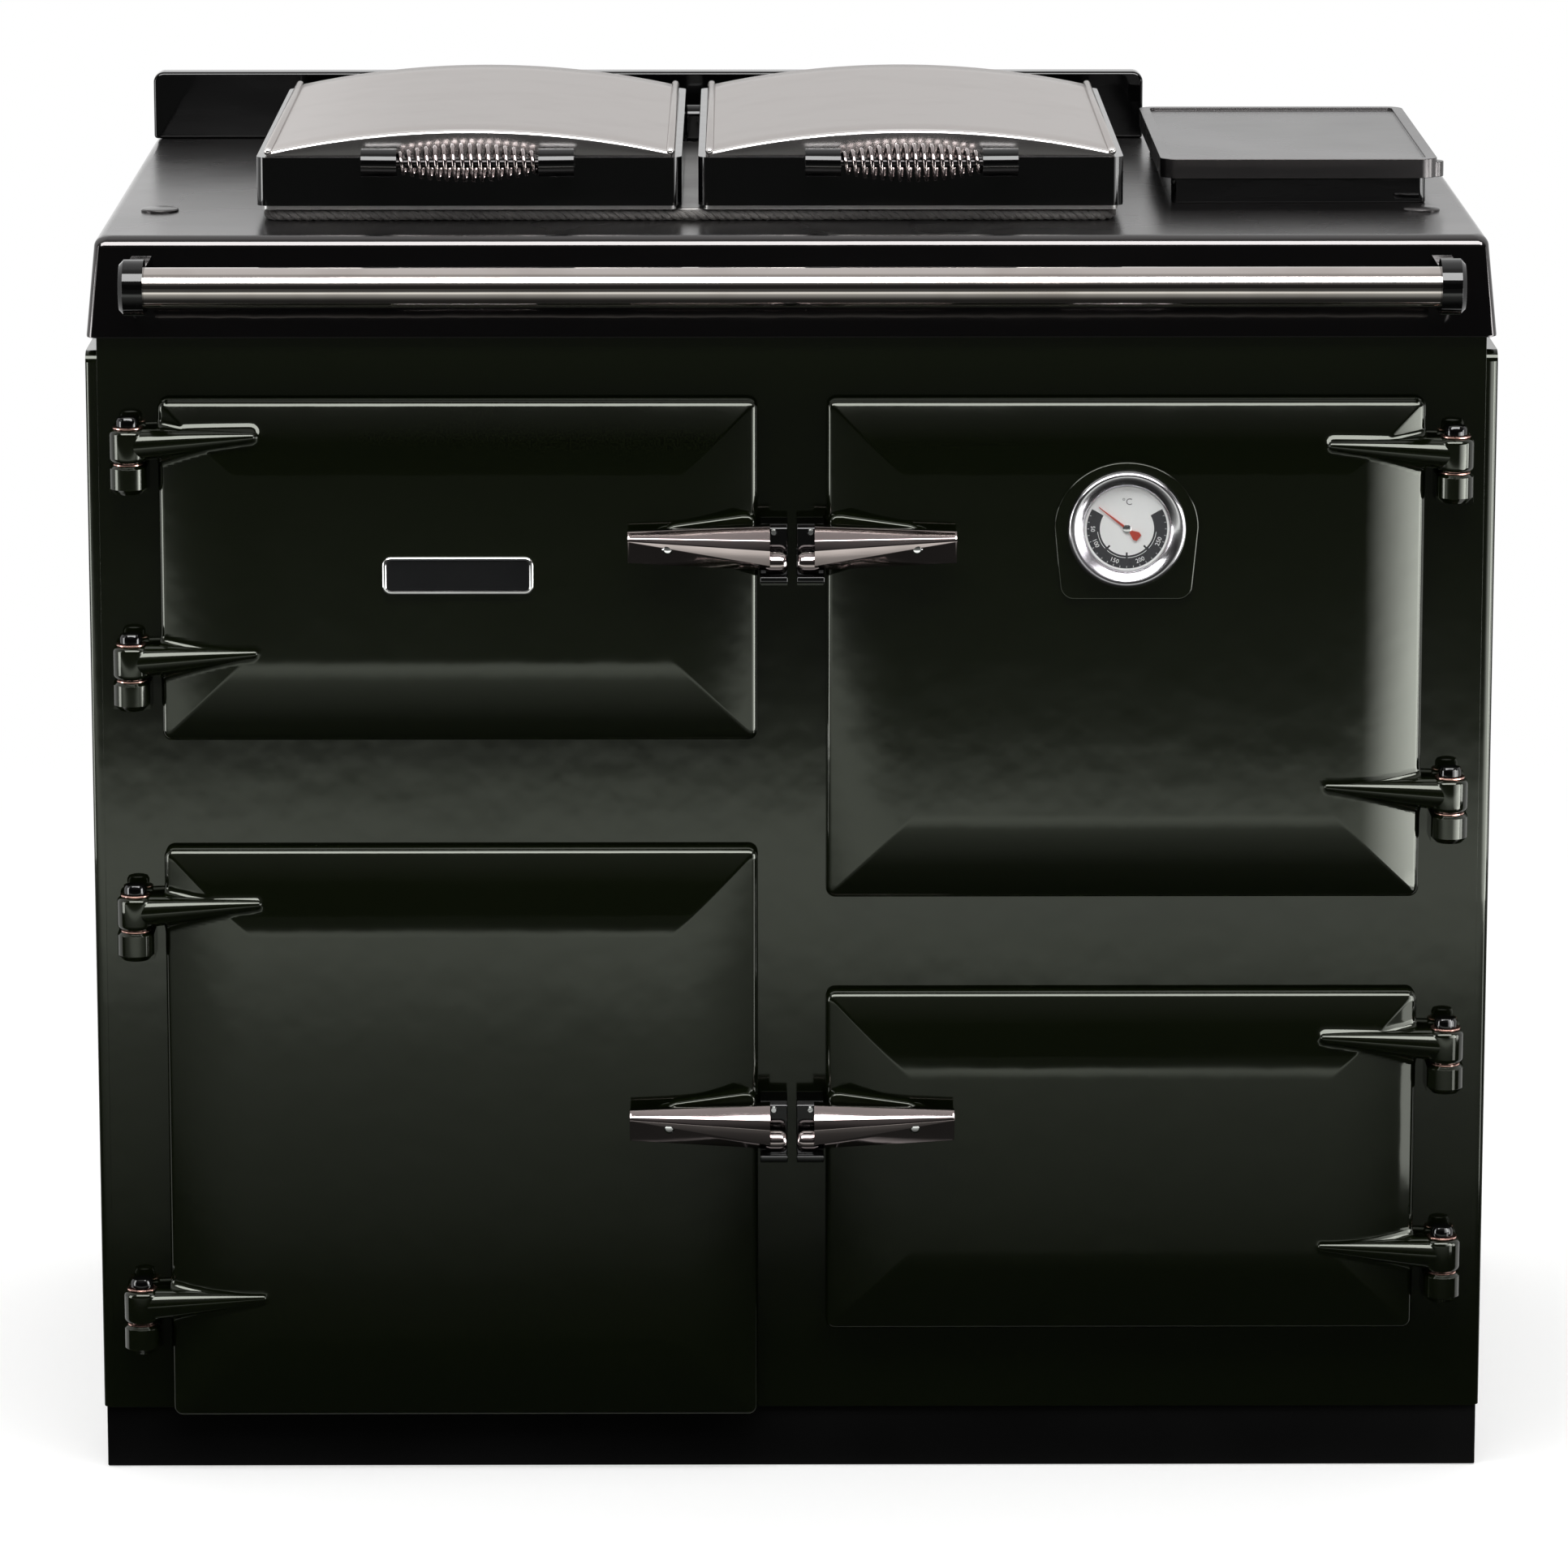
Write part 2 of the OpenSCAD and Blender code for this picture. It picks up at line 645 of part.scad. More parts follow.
module side_panel() {
    outer = body_w / 2;
    height = side_top_z - plinth_h;
    upstand_x = outer - side_edge - upstand_inset - side_sheet_t;
    // Folded upstand inside the skirt, which carries the side of the top plate
    upstand_y = max(front_t, skirt_lean - skirt_reach + skirt_t + 1) + top_rail_t + 1;
    translate([upstand_x, upstand_y, 0]) {
        depth = back_y - back_t - upstand_y;
        translate([0, 0, side_top_z - side_sheet_t])
            cube([upstand_inset + 2 * side_sheet_t, depth, side_sheet_t]);
        translate([0, 0, side_top_z - side_sheet_t])
            cube([side_sheet_t, depth, under_top_z - side_top_z + side_sheet_t]);
    }
    difference() {
        across(outer - side_edge, outer) {
            translate([0, plinth_h]) square([back_y, height - side_edge]);
            translate([side_edge, plinth_h]) square([back_y - side_edge, height]);
            translate([side_edge, side_top_z - side_edge]) circle(r = side_edge);
        }
        translate([outer - side_edge - 1, side_flange, plinth_h + side_flange])
            cube([side_edge - side_sheet_t + 1, back_y - 2 * side_flange, height - 2 * side_flange]);
    }
}

module left_side_panel() {
    color(enamel) in_cabinet() mirror([1, 0, 0]) side_panel();
}

module right_side_panel() {
    color(enamel) in_cabinet() side_panel();
}

// Places a screw's axis at each hole of the back panel, down both of its sides
module at_back_screws() {
    run = side_top_z - plinth_h - 2 * screw_end;
    for (x = [-front_half + screw_inset, front_half - screw_inset], i = [0 : screw_rows - 1])
        translate([x, back_y, plinth_h + screw_end + i * run / (screw_rows - 1)]) children();
}

module back_panel() {
    color(steel) in_cabinet() difference() {
        translate([-front_half, back_y - back_t, plinth_h])
            cube([2 * front_half, back_t, side_top_z - plinth_h]);
        translate([-front_half + top_rail_inset, back_y - back_t, side_top_z - 1])
            cube([2 * (front_half - top_rail_inset), back_t, under_top_z - side_top_z + 1]);
        bar_y(spigot_x(), back_y - back_t - 1, back_y + 1, spigot_z, spigot_d + 2);
        for (z = [return_z, flow_z]) bar_y(-socket_x, back_y - back_t - 1, back_y + 1, z, socket_d + 4);
        for (k = [-1 : 1], i = [0 : vent_slots - 1])
            upright(back_y - back_t - 1, back_y + 1)
                translate([vent_shift + k * vent_spread - vent_w / 2, plinth_h + vent_low + i * vent_pitch])
                    rounded([vent_w, vent_h], vent_h / 2 - 0.1);
        at_back_screws() rotate([90, 0, 0]) cylinder(h = 3 * back_t, d = screw_hole_d, center = true);
    }
}

module back_panel_screws() {
    color(steel) in_cabinet() at_back_screws() rotate([-90, 0, 0]) {
        rotate_extrude()
            polygon([[0, 0], [screw_head_d / 2, 0], [screw_head_d / 2, 1], [0.36 * screw_head_d, 2.6], [0, 3]]);
        translate([0, 0, -back_t - screw_len]) cylinder(h = back_t + screw_len + 0.5, d = screw_d);
    }
}

// ---------- Top plate ----------

// The top plate's outer body: a slanted skirt with a rounded upper edge
module top_body(shrink, low, high, back, e) {
    front_low = [-skirt_reach + shrink, low];
    front_high = [skirt_lean - skirt_reach + shrink, high];
    side = skirt_half - shrink;
    side_high = side - skirt_side_lean;
    intersection() {
        across(-skirt_half, skirt_half) polygon(concat(
            [front_low], arc(front_high.x + e, high - e, e, 170, 90, 8), [[back, high], [back, low]]));
        upright(-skirt_reach - 1, back + 1) polygon(concat(
            [[-side, low]], arc(-side_high + e, high - e, e, 175, 90, 8),
            arc(side_high - e, high - e, e, 90, 5, 8), [[side, low]]));
    }
}

function spigot_x() = flue_x + flue_w / 2;

module hotplate_outline(grow) {
    x0 = rope_x0 + hotplate_margin - grow;
    y0 = rope_y0 + hotplate_margin - grow;
    translate([x0, y0]) rounded([rope_x1 - hotplate_margin + grow - x0, rope_y1 - hotplate_margin + grow - y0],
        hotplate_r + grow);
}

module flue_outline(inset) {
    translate([flue_x + inset, flue_y + inset])
        rounded([flue_w - 2 * inset, flue_depth - 2 * inset], flue_r - min(inset, flue_r - 5));
}

inner_edge_r = 0.5;
module top_plate() {
    color(black) in_cabinet() difference() {
        top_body(0, skirt_z, top_z, back_y, top_edge_r);
        top_body(skirt_t, skirt_z - 1, under_top_z, back_y + 2, inner_edge_r);
        translate([0, 0, under_top_z - 1]) linear_extrude(top_t + 2) {
            hotplate_outline(hotplate_gap);
            flue_outline(flue_inset + flue_wall_t + 10);
        }
        for (x = [-plug_x, plug_x]) translate([x, plug_y, under_top_z - 1]) cylinder(h = top_t + 2, d = plug_d - 8);
    }
}

module splashback() {
    left = body_w / 2 - splash_left_inset;
    w = left + splash_right;
    color(black) in_cabinet() upright(splash_y, splash_y + splash_t) translate([-left, top_z]) {
        square([w, splash_h - splash_r]);
        translate([splash_r, 0]) square([w - 2 * splash_r, splash_h]);
        for (x = [splash_r, w - splash_r]) translate([x, splash_h - splash_r]) circle(r = splash_r);
    }
}

module top_plate_plugs() {
    r = plug_d / 2;
    color(black) in_cabinet() for (x = [-plug_x, plug_x]) translate([x, plug_y, top_z]) {
        rotate_extrude() polygon([[0, 0], [r, 0], [r, plug_h - 1.2], [r - 1, plug_h - 0.3], [r - 3, plug_h],
            [0, plug_h]]);
        translate([0, 0, -top_t]) cylinder(h = top_t + 0.5, d = plug_d - 8 - 2 * free_gap);
    }
}

module flue_chamber() {
    color(black) in_cabinet() translate([0, 0, top_z]) difference() {
        linear_extrude(flue_wall_h) flue_outline(flue_inset);
        translate([0, 0, -1]) linear_extrude(flue_wall_h + 2) flue_outline(flue_inset + flue_wall_t);
    }
}

module flue_cover() {
    color(black) in_cabinet() translate([0, 0, top_z + flue_wall_h]) difference() {
        union() {
            linear_extrude(flue_cover_t) flue_outline(0);
            translate([flue_x + flue_w - 3, flue_y + 14, 0]) cylinder(h = flue_cover_t - 3, r = 8);
        }
        translate([0, 0, flue_cover_t - flue_rim_h]) linear_extrude(flue_rim_h + 1) flue_outline(flue_rim_w);
    }
}

module flue_spigot() {
    color(iron) in_cabinet() difference() {
        union() {
            bar_y(spigot_x(), back_y - 40, back_y + spigot_reach, spigot_z, spigot_d);
            upright(back_y, back_y + spigot_flange_t)
                translate([spigot_x() - spigot_flange / 2, spigot_z - spigot_flange / 2])
                    rounded([spigot_flange, spigot_flange], 14);
        }
        bar_y(spigot_x(), back_y - 41, back_y + spigot_reach + 1, spigot_z, spigot_d - 2 * spigot_wall);
    }
}

// ---------- Towel rail ----------

module towel_rail() {
    reach = rail_half + rail_socket - free_gap;
    color(chrome) in_cabinet() bar_x(-reach, reach, -rail_reach, rail_z, rail_d);
}

module rail_bracket() {
    r = rail_bracket_d / 2;
    outer = rail_half + rail_bracket_w;
    difference() {
        union() {
            bar_x(rail_half, outer - 3, -rail_reach, rail_z, rail_bracket_d);
            translate([outer - 3, -rail_reach, rail_z]) rotate([0, 90, 0]) cylinder(h = 3, r1 = r, r2 = r - 3);
            translate([rail_half, -rail_reach, rail_z - r]) cube([rail_bracket_w - 3, rail_reach + 8, 2 * r - 7]);
        }
        bar_x(rail_half - 1, rail_half + rail_socket, -rail_reach, rail_z, rail_d + 2 * run_gap);
        top_body(0, skirt_z, top_z, back_y, top_edge_r);
    }
}

module rail_brackets() {
    color(black) in_cabinet() for (side = [-1, 1]) on_side(side) rail_bracket();
}

// ---------- Hotplate ----------

module hotplate() {
    low = top_z + hotplate_rise - hotplate_t;
    color(iron) in_cabinet() {
        translate([0, 0, low]) linear_extrude(hotplate_t) hotplate_outline(0);
        translate([0, 0, low]) linear_extrude(under_top_z - low) hotplate_outline(hotplate_flange);
    }
}

module hotplate_rope_seal() {
    color(rope) in_cabinet() translate([rope_x0, rope_y0, top_z + hot_rope_d / 2])
        rope_loop([rope_x1 - rope_x0, rope_y1 - rope_y0], 18, hot_rope_d);
}

// ---------- Ovens ----------

module oven_box(door) {
    c = cavity(door);
    difference() {
        union() {
            translate([c[0] - oven_wall, front_t, c[1] - oven_wall])
                cube([c[2] + 2 * oven_wall, oven_depth + oven_wall, c[3] + 2 * oven_wall]);
            translate([c[0] - oven_wall - oven_flange_w, front_t, c[1] - oven_wall - oven_flange_w])
                cube([c[2] + 2 * (oven_wall + oven_flange_w), oven_flange_t,
                    c[3] + 2 * (oven_wall + oven_flange_w)]);
        }
        translate([c[0], front_t - 1, c[1]]) cube([c[2], oven_depth + 1, c[3]]);
    }
}

module runners(door, rises) {
    c = cavity(door);
    for (rise = rises, x = [c[0] - 1, c[0] + c[2] - runner_w])
        translate([x, front_t + 20, c[1] + rise]) cube([runner_w + 1, oven_depth - 20, runner_t]);
}

module shelf(door, rise) {
    c = cavity(door);
    r = shelf_rod_d / 2;
    w = c[2] - 2 * (shelf_gap + r);
    d = shelf_depth - shelf_rod_d;
    translate([c[0] + shelf_gap + r, front_t + oven_depth - shelf_depth + r - free_gap,
        c[1] + rise + runner_t + free_gap + r]) {
        rope_loop([w, d], 14, shelf_rod_d);
        for (i = [1 : shelf_bars]) translate([i * w / (shelf_bars + 1), 0, 0])
            rotate([-90, 0, 0]) cylinder(h = d, d = shelf_bar_d);
        for (y = [d / 3, 2 * d / 3]) translate([0, y, 0])
            rotate([0, 90, 0]) cylinder(h = w, d = shelf_bar_d + 0.8);
    }
}

module main_oven_box() {
    color(black) in_cabinet() {
        oven_box(upper_right);
        runners(upper_right, [main_shelf_rise - 60, main_shelf_rise, main_shelf_rise + 60]);
    }
}

module main_oven_shelf() {
    color(chrome) in_cabinet() shelf(upper_right, main_shelf_rise);
}

module lower_oven_box() {
    color(black) in_cabinet() {
        oven_box(lower_right);
        runners(lower_right, [lower_shelf_rise]);
    }
}

module lower_oven_shelf() {
    color(chrome) in_cabinet() shelf(lower_right, lower_shelf_rise);
}

// ---------- Boiler and controls ----------

module boiler_body() {
    size = [boiler_w, boiler_depth, boiler_h];
    wall = [boiler_wall, boiler_wall, boiler_wall];
    color(iron) in_cabinet() difference() {
        union() {
            translate([-boiler_x - boiler_w, boiler_y, plinth_h]) cube(size);
            for (z = [return_z, flow_z])
                bar_y(-socket_x, boiler_y + boiler_depth - 5, back_y + 6, z, socket_d);
        }
        translate([-boiler_x - boiler_w, boiler_y, plinth_h] + wall) cube(size - 2 * wall);
        bar_y(-burner_x, boiler_y - 1, boiler_y + boiler_wall + 1, burner_z, burner_flange_d - 40);
        for (z = [return_z, flow_z]) bar_y(-socket_x, back_y + 6 - socket_depth, back_y + 7, z, socket_bore_d);
    }
}

module burner() {
    flange_t = 12;
    fan_y = boiler_y - flange_t - fan_d / 2 + 12;
    color(steel) in_cabinet() {
        bar_y(-burner_x, boiler_y - flange_t, boiler_y, burner_z, burner_flange_d);
        bar_x(-burner_x - fan_w / 2, -burner_x + fan_w / 2, fan_y, burner_z, fan_d);
        bar_x(-burner_x + fan_w / 2 - 1, -burner_x + fan_w / 2 + motor_len, fan_y, burner_z, motor_d);
        bar_x(-burner_x - fan_w / 2 - 40, -burner_x - fan_w / 2 + 1, fan_y, burner_z, 60);
        translate([-burner_x - 55, boiler_y - flange_t - 60, burner_z + fan_d / 2 - 14]) cube([110, 60, 60]);
    }
}

module control_outline(inset) {
    d = upper_left;
    grow = 8;
    translate([door_inner + aperture_inset - grow + inset, d[1] + aperture_inset - grow + inset])
        square([door_w - 2 * (aperture_inset - grow + inset), d[2] - 2 * (aperture_inset - grow + inset)]);
}

fascia_y = front_t + tray_depth - fascia_t;
knob_z = upper_left_z + (upper_doors_top - upper_left_z) / 2;

module control_panel() {
    color(steel) in_cabinet() difference() {
        mirror([1, 0, 0]) upright(front_t, front_t + tray_depth) control_outline(0);
        mirror([1, 0, 0]) upright(front_t - 1, fascia_y) control_outline(tray_wall);
        for (x = [oven_knob_x, boiler_knob_x])
            bar_y(-x, fascia_y - 1, front_t + tray_depth + 1, knob_z, knob_shaft_d + 2 * run_gap);
    }
}

module knob(x) {
    face = fascia_y - free_gap;
    r = knob_d / 2;
    translate([-x, face, knob_z]) rotate([90, 0, 0]) {
        rotate_extrude() polygon(concat([[0, 0], [r, 0], [r, 2], [r - 5, 5], [r - 7, knob_h - 2]],
            [[r - 9, knob_h], [0, knob_h]]));
        translate([-3, -(r - 4), 4]) cube([6, 2 * (r - 4), knob_h - 2]);
    }
    bar_y(-x, face - 1, front_t + tray_depth + 6, knob_z, knob_shaft_d);
}

module oven_knob() {
    color(black) in_cabinet() knob(oven_knob_x);
}

module boiler_knob() {
    color(black) in_cabinet() knob(boiler_knob_x);
}

// ---------- Door hinges and catches ----------

module at_hinges(door) {
    for (z = [door[3], door[4]]) translate([hinge_x, -hinge_y, z]) children();
}

lug_top = -hinge_pitch - washer_h;

module hinge_lugs() {
    color(enamel) in_cabinet() for (door = doors) on_side(door[0]) at_hinges(door)
        translate([0, 0, lug_top - lug_h]) difference() {
            union() {
                cylinder(h = lug_round, d1 = knuckle_d - 2 * lug_round, d2 = knuckle_d);
                translate([0, 0, lug_round]) cylinder(h = lug_h - 2 - lug_round, d = knuckle_d);
                translate([0, 0, lug_h - 2]) cylinder(h = 2, d1 = knuckle_d, d2 = knuckle_d - 4);
                translate([-knuckle_d / 2, 0, 0]) cube([knuckle_d, hinge_y, lug_h - 2]);
            }
            translate([0, 0, -1]) cylinder(h = lug_h + 2, d = pin_d + 2 * run_gap);
        }
}

module hinge_pins() {
    r = pin_d / 2;
    washer_r = knuckle_d / 2 - 2.5;
    cap_r = pin_cap_d / 2;
    top = knuckle_h / 2 + free_gap;
    color(black) in_cabinet() for (door = doors) on_side(door[0]) at_hinges(door) rotate_extrude() polygon([
        [0, lug_top - lug_h], [r, lug_top - lug_h], [r, lug_top], [washer_r, lug_top],
        [washer_r, lug_top + washer_h], [r, lug_top + washer_h], [r, top], [washer_r - 1, top],
        [washer_r - 1, top + washer_h], [cap_r, top + washer_h], [cap_r, top + washer_h + pin_cap_h - 2],
        [cap_r - 2, top + washer_h + pin_cap_h], [0, top + washer_h + pin_cap_h]]);
}

roller_y = handle_back + handle_root_t / 2;
module door_catches() {
    lip_z = -roller_drop - roller_d / 2 - catch_gap;
    front = roller_y + roller_d / 2 + 2;
    color(black) in_cabinet() for (door = doors) on_side(door[0])
        across(catch_inner, door_inner - catch_door_gap) translate([0, door[5]]) polygon([
            [0, lip_z - 8], [-front + 12, lip_z - 8], [-front, lip_z - 4], [-front, lip_z],
            [-front + 4, lip_z], [-front + 6, lip_z - 2], [-handle_back, lip_z - 2],
            [-handle_back + 4.5, lip_z + 2], [-handle_back + 4.5, catch_h - 3], [-handle_back + 7.5, catch_h],
            [0, catch_h]]);
}

// ---------- Doors ----------

// Outline across a door: upright rims, rounded edges and a border that slopes up to a flat middle
function pillow(len) = let (
        e = door_edge_r,
        rise = [for (i = [0 : 8]) let (t = i / 8)
            [e + (door_slope_w - e) * t, -door_edge_front - door_crown * (1 - pow(1 - t, 2))]],
        half = concat([[0, -door_gap]], arc(e, -door_edge_front + e, e, 180, 260, 4), rise))
    concat(half, [for (i = [len(half) - 1 : -1 : 0]) [len - half[i].x, half[i].y]]);

module door_pillow(h) {
    intersection() {
        upright(-door_front - 1, -door_gap) rounded([door_w, h], door_corner_r);
        linear_extrude(h) polygon(pillow(door_w));
        across(0, door_w) polygon([for (p = pillow(h)) [p.y, p.x]]);
    }
}

// Tapered arm that runs from a hinge's knuckle onto the door's face
module horn() {
    lean = atan((door_front - hinge_y - 1.5) / horn_len);
    rotate([0, 0, lean]) {
        rotate([0, -90, 0]) cylinder(h = horn_len - horn_tip_d / 2, d1 = horn_root_d, d2 = horn_tip_d);
        translate([-horn_len + horn_tip_d / 2, 0, 0]) sphere(d = horn_tip_d);
    }
}

// Enamelled bracket under the handle, with the stud that the handle turns on
module handle_bracket(z) {
    back = -door_edge_front + 4;
    face = -handle_back + 1;
    x0 = door_inner + 2;
    upright(face, back) translate([0, z]) polygon([[x0, -6], [x0, 17], [x0 + 4, 20], [handle_pivot - 28, 19],
        [handle_pivot, 13], [handle_pivot + 9, 8], [handle_pivot + 9, -6]]);
    bar_y(handle_pivot, face, -door_front + 3, z, 24);
    bar_y(handle_pivot, -handle_back - handle_tip_t - 4, face + 1, z, stud_d);
}

module door_casting(door) {
    h = door[2];
    difference() {
        union() {
            translate([door_inner, 0, door[1]]) door_pillow(h);
            at_hinges(door) {
                cylinder(h = knuckle_h, d = knuckle_d, center = true);
                horn();
            }
            handle_bracket(door[5]);
            children();
        }
        translate([door_inner + door_rim_w, -pocket_floor, door[1] + door_rim_w])
            cube([door_w - 2 * door_rim_w, pocket_floor + 1, h - 2 * door_rim_w]);
        at_hinges(door) cylinder(h = knuckle_h + 2, d = pin_d + 2 * run_gap, center = true);
    }
}

module door_liner(door) {
    face = -pocket_floor + 2.3;
    inset = door_rim_w + free_gap;
    deep = aperture_inset + plug_inset;
    h = door[2];
    upright(-pocket_floor, face) translate([door_inner + inset, door[1] + inset])
        square([door_w - 2 * inset, h - 2 * inset]);
    upright(-pocket_floor, plug_reach) translate([door_inner + deep, door[1] + deep])
        rounded([door_w - 2 * deep, h - 2 * deep], 10);
}

module door_rope(door) {
    inset = door_rope_inset;
    translate([door_inner + inset, -pocket_floor + 2.3 + free_gap / 2 + door_rope_d / 2, door[1] + inset])
        rotate([90, 0, 0]) rope_loop([door_w - 2 * inset, door[2] - 2 * inset], 10, door_rope_d);
}

// Wedge-shaped lever with a roller at its inner end
module door_handle(door) {
    tip = [for (p = [[0, -1], [0.37, -1], [1, 0.4], [1, 0.5], [0.93, 0.65], [0.6, 1], [0, 1]])
        [-handle_back - 2.5 - p.x * handle_tip_t, p.y * handle_tip_h / 2]];
    root = [for (p = [[0, -1], [0.64, -1], [0.93, -0.72], [1, 0], [0.91, 0.43], [0.55, 1], [0, 1]])
        [-handle_back - p.x * handle_root_t, p.y * handle_root_h / 2]];
    translate([0, 0, door[5]]) difference() {
        union() {
            hull() {
                across(handle_tip - 1, handle_tip) polygon(tip);
                across(handle_inner + roller_w, handle_inner + roller_w + 1) polygon(root);
            }
            bar_x(handle_inner, handle_inner + roller_w + 3, -roller_y, -roller_drop, roller_d);
        }
        bar_y(handle_pivot, -handle_back - handle_root_t - 9, -handle_back + 9, 0, stud_d + 2 * run_gap);
    }
}

function case_x() = door_inner + door_w / 2;
boss_face = door_front + boss_rise;

module thermometer_boss() {
    bar_y(case_x(), -boss_face, -door_front + 2, dial_z, 2 * boss_r);
    upright(-boss_face, -door_front + 2) translate([case_x() - boss_r, dial_z - boss_drop])
        rounded([2 * boss_r, boss_drop + 5], 4);
}

module stem_hole() {
    bar_y(case_x(), -boss_face - 5, plug_reach + 1, dial_z, stem_d + 2 * free_gap);
}

module upper_left_door() {
    color(enamel) in_cabinet() on_side(-1) door_casting(upper_left);
}
module upper_left_liner() {
    color(steel) in_cabinet() on_side(-1) door_liner(upper_left);
}
module upper_left_rope_seal() {
    color(rope) in_cabinet() on_side(-1) door_rope(upper_left);
}
module upper_left_handle() {
    color(chrome) in_cabinet() on_side(-1) door_handle(upper_left);
}
module lower_left_door() {
    color(enamel) in_cabinet() on_side(-1) door_casting(lower_left);
}
module lower_left_liner() {
    color(steel) in_cabinet() on_side(-1) door_liner(lower_left);
}
module lower_left_rope_seal() {
    color(rope) in_cabinet() on_side(-1) door_rope(lower_left);
}
module lower_left_handle() {
    color(chrome) in_cabinet() on_side(-1) door_handle(lower_left);
}
module upper_right_door() {
    color(enamel) in_cabinet() difference() {
        door_casting(upper_right) thermometer_boss();
        stem_hole();
    }
}
module upper_right_liner() {
    color(steel) in_cabinet() difference() {
        door_liner(upper_right);
        stem_hole();
    }
}
module upper_right_rope_seal() {
    color(rope) in_cabinet() door_rope(upper_right);
}
module upper_right_handle() {
    color(chrome) in_cabinet() door_handle(upper_right);
}
module lower_right_door() {
    color(enamel) in_cabinet() door_casting(lower_right);
}
module lower_right_liner() {
    color(steel) in_cabinet() door_liner(lower_right);
}
module lower_right_rope_seal() {
    color(rope) in_cabinet() door_rope(lower_right);
}
module lower_right_handle() {
    color(chrome) in_cabinet() door_handle(lower_right);
}

// ---------- Thermometer and plate ----------

glass_t = 1.5;
case_floor = 1.5;
dial_floor = 0.4;
module at_dial() {
    in_cabinet() translate([case_x(), -boss_face, dial_z]) rotate([90, 0, 0]) children();
}

// Case with a domed bezel, a seat for the glass and a stem into the oven
module thermometer_case() {
    r = case_d / 2;
    mouth = dial_d / 2;
    seat = case_reach - 2.5;
    color(chrome) at_dial() {
        rotate_extrude() polygon([[0, 0], [r, 0], [r, case_reach - 4], [r - 1.2, case_reach - 1.5],
            [r - 4, case_reach], [mouth + 3, case_reach - 1], [mouth, seat - 1], [mouth, case_floor],
            [0, case_floor]]);
        translate([0, 0, -boss_face - stem_reach]) cylinder(h = boss_face + stem_reach + 0.5, d = stem_d);
    }
}

module thermometer_dial() {
    color([0.95, 0.95, 0.93]) at_dial() translate([0, 0, case_floor]) difference() {
        cylinder(h = dial_t, d = dial_d - 2 * free_gap);
        translate([0, 0, dial_floor]) cylinder(h = dial_t, d = pointer_shaft_d + 2 * run_gap);
    }
}

// Points to the upper left when the oven is cold
cold_angle = 142;
module thermometer_pointer() {
    face = case_floor + dial_t + free_gap;
    bore_floor = case_floor + dial_floor + 0.2;
    color([0.7, 0.12, 0.06]) at_dial() rotate([0, 0, cold_angle]) {
        translate([0, 0, face]) linear_extrude(0.6)
            polygon([[-9, -2.6], [0, -1.6], [pointer_len, -0.4], [pointer_len, 0.4], [0, 1.6], [-9, 2.6]]);
        translate([0, 0, face]) cylinder(h = 0.9, d = 6);
        translate([0, 0, bore_floor]) cylinder(h = face + 0.5 - bore_floor, d = pointer_shaft_d);
    }
}

module thermometer_glass() {
    color([0.85, 0.9, 0.92, 0.35]) at_dial() translate([0, 0, case_reach - 3.5 - glass_t])
        cylinder(h = glass_t, d = dial_d - 0.2);
}

module door_badge() {
    color(chrome) in_cabinet() translate([-case_x() - badge_w / 2, 0, badge_z - badge_h / 2]) difference() {
        upright(-door_front - badge_t, -door_front) rounded([badge_w, badge_h], 6);
        upright(-door_front - badge_t - 1, -door_front - badge_t + 1) translate([3, 3])
            rounded([badge_w - 6, badge_h - 6], 3.5);
    }
}

// ---------- Lids ----------

module lid_outline(inset, back_inset) {
    r = max(lid_corner_r - inset, 2);
    translate([-lid_w / 2 + inset, lid_front_y + inset])
        rounded([lid_w - 2 * inset, lid_depth - inset - back_inset], r);
}

// Side of the lid that faces the other lid: 1 for the left lid, -1 for the right one
module lid_frame(x, inner) {
    bracket_z = coil_z - bracket_h / 2;
    color(black) in_cabinet() translate([x, 0, 0]) difference() {
        union() {
            translate([0, 0, lid_z]) linear_extrude(lid_frame_h) difference() {
                lid_outline(0, 0);
                lid_outline(lid_wall, lid_back_wall);
            }
            for (side = [-1, 1]) on_side(side) translate([coil_len / 2, 0, bracket_z]) {
                bar_x(0, bracket_len, coil_y, bracket_h / 2, bracket_h);
                translate([bracket_len * 0.3, coil_y, 0])
                    cube([bracket_len * 0.7, coil_reach + lid_wall / 2, bracket_h * 0.72]);
            }
        }
        bar_x(inner * lid_w / 2 - lid_pin_len - 2, inner * lid_w / 2 + lid_pin_len, lid_pin_y, lid_pin_z,
            lid_pin_d + 2 * run_gap);
        for (side = [-1, 1]) on_side(side)
            bar_x(coil_len / 2 - 1, coil_len / 2 + 8, coil_y, coil_z, coil_rod_d + 2 * run_gap);
    }
}

// Polished sheet dome: one arch across the lid, closed at both ends, with a rolled bead along each side
module lid_dome(x) {
    half = lid_w / 2 - dome_inset;
    radius = (half * half + dome_rise * dome_rise) / (2 * dome_rise);
    y0 = lid_front_y + dome_inset;
    y1 = lid_back_y - dome_inset;
    base = frame_top_z;
    color(chrome) in_cabinet() translate([x, 0, 0]) {
        difference() {
            arch(half, radius, y0, y1, base, 0);
            arch(half - dome_t, radius - dome_t, y0 + dome_t, y1 - dome_t, base - 1, 1);
        }
        for (side = [-1, 1]) {
            bar_y(side * (half - 0.5), y0, y1, base + dome_side_h, bead_d);
            translate([side * (half - 0.5), y0, base + dome_side_h]) sphere(d = bead_d);
        }
    }
}

